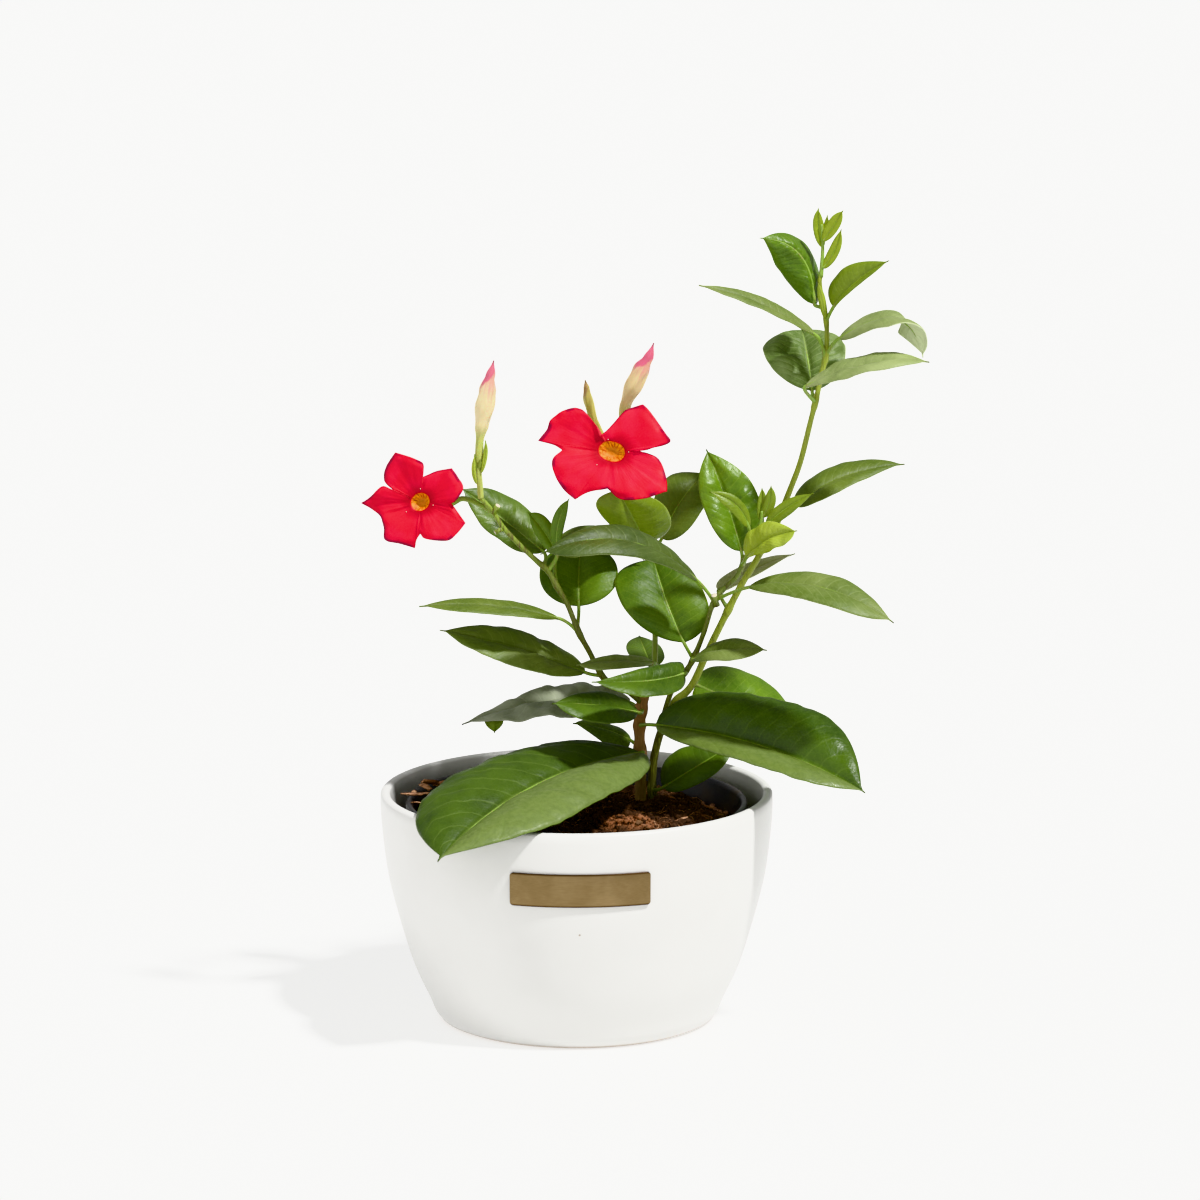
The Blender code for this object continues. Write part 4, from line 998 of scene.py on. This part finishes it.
# Each shoot: its tone, its route, and the five points of each leaflet.
SHOOTS = {
    "shoot_left": ("bright", "-13,-6,209 -9,-5,215 -9,-5,221 -8,-5,226", (
        "-9,-5,217 -15,-2,227 -22,0,235 -18,-3,224 -12,-1,231",
        "-9,-6,219 -8,-9,232 -3,-9,243 -11,-9,233 -5,-8,232")),
    "shoot_right": ("fresh", "82.2,-8,227 83.4,-8,231.6 84,-8,237", (
        "83,-8,233 84,-6,240 84,-4,247 82,-6,240 86,-7,241",
        "84,-8,234 87,-9,241 88,-9,249 85,-8,242 90,-9,240")),
    "shoot_top": ("lime", "110.4,4,342 111,4,352 111,4,359 110.5,4,366", (
        "111,4,355.3 109.2,5,364.5 109,5,373.2 106.6,5.5,364.5 111.8,4.5,364.5",
        "111,3,358.3 116,1,366 119.7,-1,372.8 113.7,2,368 118,-1,364.6",
        "111,3.2,346 116.3,1.5,354.5 119.1,0,364.4 114.3,2.5,356 118.2,0.5,353",
        "111,4.5,357 112.6,5.5,363.5 113,5.5,370 111.2,6,364 114,5,363")),
}
for name, (tone, route, leaflets) in SHOOTS.items():
    shoot_work = new_work()
    path = smooth_path(spots(route), 1.0)
    radii = [SHOOT_RADIUS * (1 - 0.5 * i / len(path)) for i in range(len(path))]
    add_tube(shoot_work, path, radii, 10, 2)
    for number, points in enumerate(leaflets):
        up, turn = add_leaf(shoot_work, spots(points), 0.45, number, rows=30, columns=12)
        add_midrib(shoot_work, spots(points), up, turn, None, 0.5, 6)
    looks = [leaf_tops[tone], leaf_unders[tone], stalk_skin]
    piece(name + "_leaflets", shoot_work, looks, [name])
print("growing tips", len(SHOOTS))

# %% [markdown]
# ## Buds
# Before it opens, a flower is furled like an umbrella: five petals wrapped in one spiral. The bud is
# a tube with five low ribs that wind about it. Pink shows only at the twisted point, cream below it,
# and green where the tube joins its stalk, with narrow sepals at its foot.

# %% Buds
# Each bud: its stem and height, and points from its tip down, each with the radius there.
BUDS = {
    "bud_left": ("left_stem", 244, spots("""
        -37,-16,307,0.3 -38.5,-16,300,2.1 -40,-16,293,3.8 -41,-16,286,4.3 -42.5,-16,278,3.1
        -43.3,-16,271,1.8 -43.8,-16,263,1.9 -44,-16,256,1.5""")),
    "bud_right": ("middle_stem", 251, spots("""
        35,4,312,0.3 32.5,4,305,2.2 29,5,299,3.8 26,6,292,4 22.5,8,284,2.6 21,11,275,1.7
        21.5,14,266,2.2 23.2,17,256,1.3""")),
    "bud_middle": ("middle_stem", 246.5, spots("""
        4,4,295,0.3 4.6,4.5,291,1.4 5.5,5.5,285,2.2 8,7.5,276,1.8 12,11,267,1.5 16,14.5,259,1.3
        18.6,17,253,1.2""")),
}
# The name of each bud's finish, its colour at the point, below it and at the foot, and the share
# of its length that is pink.
BUD_COLOURS = {
    "bud_left": ("bud_cream_pink", (0.5, 0.12, 0.17), (0.62, 0.52, 0.3), (0.36, 0.4, 0.1), 0.15),
    "bud_right": ("bud_rose_point", (0.5, 0.1, 0.16), (0.6, 0.47, 0.25), (0.42, 0.42, 0.11), 0.17),
    "bud_middle": ("bud_young", (0.28, 0.18, 0.07), (0.4, 0.38, 0.1), (0.32, 0.36, 0.07), 0.1),
}
BUD_STEP = 0.8
BUD_STALK = 1.3
BUD_RIBS = 5
BUD_RIB_DEPTH = 0.075
BUD_TURNS = 0.9
SEPALS = 5
SEPAL_THICKNESS = 0.25


def furled_petals(name, tip, body, foot, pink_reach):
    """Cream that turns pink at the point and green at the foot. UV v runs from the point down."""
    look = Look(name, Specular_IOR_Level=0.35, Subsurface_Weight=0.1, Subsurface_Scale=0.002)
    u, v, _ = look.split("UV")
    turned = look.maths("SUBTRACT", u, look.times(v, BUD_TURNS))
    wrap = look.maths("SINE", look.times(turned, tau * 2))
    edge = look.plus(v, look.times(wrap, 0.05))
    edge = look.plus(edge, look.scaled(look.noise(500.0), 0.08, -0.04))
    streaks = look.noise(1.0, 3.0, (26, 2, 1), "UV")
    drawn = look.plus(v, look.scaled(streaks, 0.4, -0.2))
    look.paint(look.between(v, 0.42, 0.6), foot, body)
    look.paint(look.times(look.between(streaks, 0.5, 0.75), 0.45), dimmed(foot, 0.75))
    look.paint(look.times(look.between(drawn, pink_reach + 0.14, pink_reach - 0.04), 0.55), tip)
    look.paint(look.between(edge, pink_reach + 0.02, pink_reach - 0.02), tip)
    look.paint(look.between(v, 0.05, 0.015), dimmed(tip, 0.4))
    return look.done(look.scaled(streaks, 0.15, 0.45), look.bump(streaks, 0.0003, 0.5))


def add_sepals(work, foot, along, girth, reach, width):
    """Narrow pointed sepals that stand round the foot of a tube, in material 1."""
    for k in range(SEPALS):
        out = Matrix.Rotation(tau * k / SEPALS + 0.4, 3, along) @ along.orthogonal().normalized()
        wing = along.cross(out)
        base = foot + out * (girth - 0.3)
        middle = foot + along * reach * 0.5 + out * (girth + 1.0)
        tip = foot + along * reach * (1 - 0.25 * (k % 2)) + out * (girth + 1.2 + 0.5 * (k % 2))

        def shape(u, v):
            across = 2 * u - 1
            half = width * sin(pi * min(1.0, v ** 0.7)) * 0.5 * (1 - 0.3 * v) + 0.08
            return arc_point(base, middle, tip, v) + wing * half * across - out * 0.5 * across ** 2

        thicken(work, add_sheet(work, 4, 12, shape, 1), SEPAL_THICKNESS, 1)


for name, (stem, height, knots) in BUDS.items():
    centres = [Vector(knot[:3]) for knot in knots] + [stem_at_height(stem, height)]
    widths = [knot[3] for knot in knots] + [BUD_STALK]
    radii = []
    for a, b, wide, next_wide in zip(centres, centres[1:], widths, widths[1:]):
        count = max(1, round((b - a).length / BUD_STEP))
        radii += [wide + (next_wide - wide) * smooth_step(0.0, 1.0, i / count) for i in range(count)]
    bud_work = new_work()
    path = smooth_path(centres, BUD_STEP)
    add_tube(bud_work, path, radii + widths[-1:], 30, 0, BUD_RIBS, BUD_RIB_DEPTH, BUD_TURNS)
    upwards = (centres[-3] - centres[-2]).normalized()
    add_sepals(bud_work, centres[-2], upwards, widths[-2], 9.0 * widths[1] / 2.2, 2.2)
    looks = [furled_petals(*BUD_COLOURS[name]), leaf_unders["fresh"]]
    piece(name + "_furled", bud_work, looks, [name])
print("buds", len(BUDS))

# %% [markdown]
# ## Flowers
# An open flower is one piece of petal tissue: a funnel whose mouth spreads into broad lobes, each
# tilted a little like the blades of a fan, so that one edge stands proud of its neighbour. The sheet
# runs in rings from the outline of the lobes to the mouth, and the outline comes from a few points
# on each lobe. The seams between lobes are creases, and the margins roll back.

# %% Where each flower is
# Lobes are outlined in the flower's own plane, anticlockwise from its right, about its throat.
FLOWERS = {
    "flower_right": {
        "throat": (16, -18, 266), "facing": (-0.1, -0.94, 0.3), "mouth": 5.4, "tube": 26.0,
        "oval": 0.15, "tilt": -15, "stem": "middle_stem", "height": 248,
        "stalk": spots("20.3,10,255.6 21.6,13,253"),
        "lobes": [spots(lobe) for lobe in (
            "12.3,0 17.6,1 26.4,4.1 24.3,8.2 17.1,17.9 13.6,21.4 13.6,21.4 5.9,18.9 0.8,13.3 -1.9,10",
            "-5.3,6.6 -7.9,12.2 -14,18.4 -20.6,18.6 -27.7,14.1 -29.8,9.2 -33.6,4.1 -33.6,4.1 -26.5,2.4",
            "-22.3,0 -26.4,-4.6 -25.7,-10.2 -21.6,-17.4 -15.8,-22.4 -15.8,-22.4 -10,-18.8 -3,-17.6",
            "-1.2,-17.3 4.9,-21.9 14.6,-21.8 25.6,-17.8 25.6,-17.8 25,-11.5 21.7,-3.6 16.5,-0.6")]},
    "flower_left": {
        "throat": (-70, -30, 245), "facing": (-0.27, -0.94, 0.17), "mouth": 4.4, "tube": 21.0,
        "oval": 0.06, "tilt": 30, "stem": "left_stem", "height": 237.5,
        "stalk": spots("-63.2,-7,240.2 -56.5,-8,240.4 -51.7,-9,242.8 -45.5,-12,241.6"),
        "lobes": [spots(lobe) for lobe in (
            "15,0 18,1.7 20.8,6.8 18.6,11.2 14.4,15.8 14.4,15.8 7.8,14.4 3.3,12.4",
            "1.4,11.4 1.9,16 1.2,17.8 1.2,17.8 -5.4,20.1 -12.4,21.6 -12.4,21.6 -16.9,14.9 -17.3,8.8",
            "-12,4.3 -17,6.3 -21.6,2.2 -27.2,-1.9 -27.2,-1.9 -22.6,-4.4 -18.4,-7",
            "-17.1,-8.6 -15.8,-12.5 -14.8,-17.8 -8,-19.3 -1.6,-20.9 -1.6,-20.9 -0.4,-16.8",
            "1.2,-14.2 4.3,-16.4 13.9,-16.8 18.2,-13.6 21.7,-8.4 21.7,-8.4 19,-4.9")]},
}
PETAL_THICKNESS = 0.35
PETAL_RINGS = 26
PETAL_CUP = 2.4
PETAL_WAVE = 1.5
LOBE_STEPS = 56
CREASE = 0.9
ROLL_BACK = 1.3
# Grains of pollen, at u and v on the sheet of lobes, and their radius.
POLLEN_SPOTS = ((0.235, 0.88), (0.98, 0.84), (0.63, 0.82))
POLLEN_RADIUS = 0.22


def lobe_outline(lobes):
    """The flower's edge as evenly many points for each lobe, with how far along its lobe each is."""
    edge = []
    for lobe, following in zip(lobes, lobes[1:] + lobes[:1]):
        fine = smooth_path([(x, y, 0) for x, y in lobe + following[:1]], 0.2)
        for i in range(LOBE_STEPS):
            along = i / LOBE_STEPS
            edge.append((fine[round(along * (len(fine) - 1))], along))
    return edge


def flower_axes(facing):
    """Right, up and outward directions of a flower that looks the given way."""
    outward = Vector(facing).normalized()
    right = Vector((0, 0, 1)).cross(outward).normalized()
    return right, outward.cross(right).normalized(), outward


def mouth_swell(flower, angle):
    """How much wider than its mean the oval mouth is at an angle from the flower's right."""
    return 1 + flower["oval"] * cos(2 * (angle - radians(flower["tilt"])))


def add_corolla(work, flower):
    """Add the red lobes as one sheet. UV u runs once round the flower and v runs from the edge to the mouth.
    """
    edge = lobe_outline(flower["lobes"])
    right, up, outward = flower_axes(flower["facing"])
    throat = Vector(flower["throat"])

    def shape(u, v):
        share = 1 - v
        brink, along = edge[round(u * len(edge)) % len(edge)]
        mouth = flower["mouth"] * mouth_swell(flower, atan2(brink.y, brink.x))
        flat = brink.normalized() * mouth * (1 - share) + brink * share
        depth = PETAL_CUP * (1 - (1 - share) ** 2) + PETAL_WAVE * share * sin(tau * along)
        depth -= CREASE * smooth_step(0.12, 0.0, min(along, 1 - along)) * sin(pi * min(1.0, share * 1.1))
        depth -= ROLL_BACK * smooth_step(0.8, 1.0, share) * (0.6 + noise.noise(flat * 0.22))
        depth += 0.5 * noise.noise(flat * 0.16 + Vector((0, 0, 5))) * share
        depth += 0.1 * sin(along * 50 + 2 * share) * share * (1 - share) * 2
        return throat + right * flat.x + up * flat.y + outward * depth

    thicken(work, add_sheet(work, len(edge), PETAL_RINGS, shape), PETAL_THICKNESS, 1)
    for u, v in POLLEN_SPOTS:
        spot = Matrix.Translation(metres(shape(u, v) + outward * 0.1))
        grain = bmesh.ops.create_icosphere(work, subdivisions=2, radius=POLLEN_RADIUS * MM, matrix=spot)
        for face in {face for vertex in grain["verts"] for face in vertex.link_faces}:
            face.material_index = 2


def add_funnel(work, flower):
    """Add the funnel behind the mouth: its tube outside and the coloured cone inside."""
    right, up, outward = flower_axes(flower["facing"])
    throat = Vector(flower["throat"])
    mouth, deep = flower["mouth"], flower["tube"]
    outer = smooth_path([(0.0, 0, -deep), (2.0, 0, -deep), (2.2, 0, -deep * 0.78), (2.6, 0, -deep * 0.6),
                         (mouth * 0.8, 0, -deep * 0.35), (mouth, 0, -1.2), (mouth * 1.05, 0, 0.1)], 0.8)
    inner = smooth_path([(mouth * 1.05, 0, 0.1), (mouth * 0.94, 0, -0.4), (mouth * 0.75, 0, -1.5),
                         (mouth * 0.5, 0, -2.7), (mouth * 0.25, 0, -3.2), (0.0, 0, -2.9)], 0.3)
    for line, slot in ((outer, 1), (inner, 0)):
        def shape(u, v):
            spot = line[round(v * (len(line) - 1))]
            angle = tau * u
            opening = smooth_step(-deep * 0.4, -0.5, spot.z)
            radius = spot.x * (1 + (mouth_swell(flower, angle) - 1) * opening)
            return throat + (right * cos(angle) + up * sin(angle)) * radius + outward * spot.z

        add_sheet(work, 60, len(line) - 1, shape, slot)
    bmesh.ops.remove_doubles(work, verts=work.verts, dist=0.004 * MM)


# %% Finishes for flowers
def red_petal(name, paler):
    """Velvety crimson: darker by the mouth and at the very edge, with fine streaks from the throat."""
    look = Look(name, Specular_IOR_Level=0.2, Sheen_Weight=0.06, Sheen_Roughness=0.4,
                Sheen_Tint=(1.0, 0.35, 0.45, 1.0))
    v = look.split("UV")[1]
    streaks = look.noise(1.0, 3.0, (170, 5, 1), "UV")
    cloud = look.between(look.noise(110.0), 0.4, 0.7)
    look.paint(cloud, (0.55, 0.0006, 0.028), (0.5, 0.0002, 0.017))
    look.paint(look.times(look.between(streaks, 0.45, 0.8), 0.18), (0.4, 0.0002, 0.011))
    look.paint(look.times(look.between(v, 0.7, 0.97), 0.7), (0.26, 0.0002, 0.006))
    margin = look.times(look.between(v, 0.085, 0.05), look.between(cloud, 0.0, 0.6))
    look.paint(look.times(margin, 0.8), (0.16, 0.004, 0.028))
    look.paint(paler, (0.85, 0.12, 0.14))
    return look.done(look.scaled(streaks, 0.1, 0.5), look.bump(streaks, 0.00025, 0.6))


def orange_throat():
    """The inside of the funnel: orange with red-brown lines, and painted shade deeper in. UV v runs from the
    mouth inwards.
    """
    look = Look("orange_throat", Specular_IOR_Level=0.3, Subsurface_Weight=0.15, Subsurface_Scale=0.003)
    v = look.split("UV")[1]
    lines = look.noise(1.0, 4.0, (26, 1.5, 1), "UV")
    grain = look.noise(900.0)
    look.paint(look.between(grain, 0.35, 0.65), (0.72, 0.3, 0.006), (0.5, 0.14, 0.003))
    look.paint(look.between(lines, 0.45, 0.62), (0.3, 0.045, 0.002))
    fringe = look.plus(v, look.scaled(lines, 0.22, -0.11))
    look.paint(look.between(fringe, 0.16, 0.07), (0.5, 0.002, 0.01))
    # Deeper in, the funnel is painted a darker orange: painted shade inside the tube.
    look.paint(look.between(v, 0.5, 0.8), (0.5, 0.17, 0.008))
    return look.done(look.scaled(grain, 0.2, 0.45), look.bump(lines, 0.0004, 0.6))


def tube_skin():
    """The outside of the funnel: yellow-green, flushed red towards the lobes."""
    look = Look("tube_skin", Specular_IOR_Level=0.35)
    streaks = look.noise(1.0, 3.0, (20, 2, 1), "UV")
    flush = look.plus(look.split("UV")[1], look.scaled(streaks, 0.3, -0.15))
    look.paint(look.between(flush, 0.2, 0.5), (0.6, 0.03, 0.04), (0.42, 0.48, 0.1))
    return look.done(look.scaled(streaks, 0.15, 0.45), look.bump(streaks, 0.0003, 0.5))


pollen = Look("pollen", Base_Color=(0.75, 0.6, 0.5, 1.0), Roughness=0.7).material
petal_looks = [red_petal("petal_face", 0.0), red_petal("petal_back", 0.25), pollen]
funnel_looks = [orange_throat(), tube_skin()]

# %% Build the flowers
PEDICEL_COLLAR = 1.5
PEDICEL_RADIUS = 1.25
for name, flower in FLOWERS.items():
    petal_work = new_work()
    add_corolla(petal_work, flower)
    piece(name + "_petals", petal_work, petal_looks, [name + "_lobes"])
    funnel_work = new_work()
    add_funnel(funnel_work, flower)
    piece(name + "_funnel", funnel_work, funnel_looks, [name + "_throat"])
    outward = flower_axes(flower["facing"])[2]
    foot = Vector(flower["throat"]) - outward * flower["tube"]
    route = [foot + outward * 0.5, *flower["stalk"], stem_at_height(flower["stem"], flower["height"])]
    path = smooth_path(route, 1.0)
    stalk_work = new_work()
    radii = [PEDICEL_COLLAR if i < 3 else PEDICEL_RADIUS for i in range(len(path))]
    add_tube(stalk_work, path, radii, 12)
    add_sepals(stalk_work, foot, outward, 1.9, 8.0, 2.4)
    piece(name + "_pedicel", stalk_work, [stalk_skin, leaf_unders["fresh"]], [name + "_stalk"])
print("flowers", len(FLOWERS))
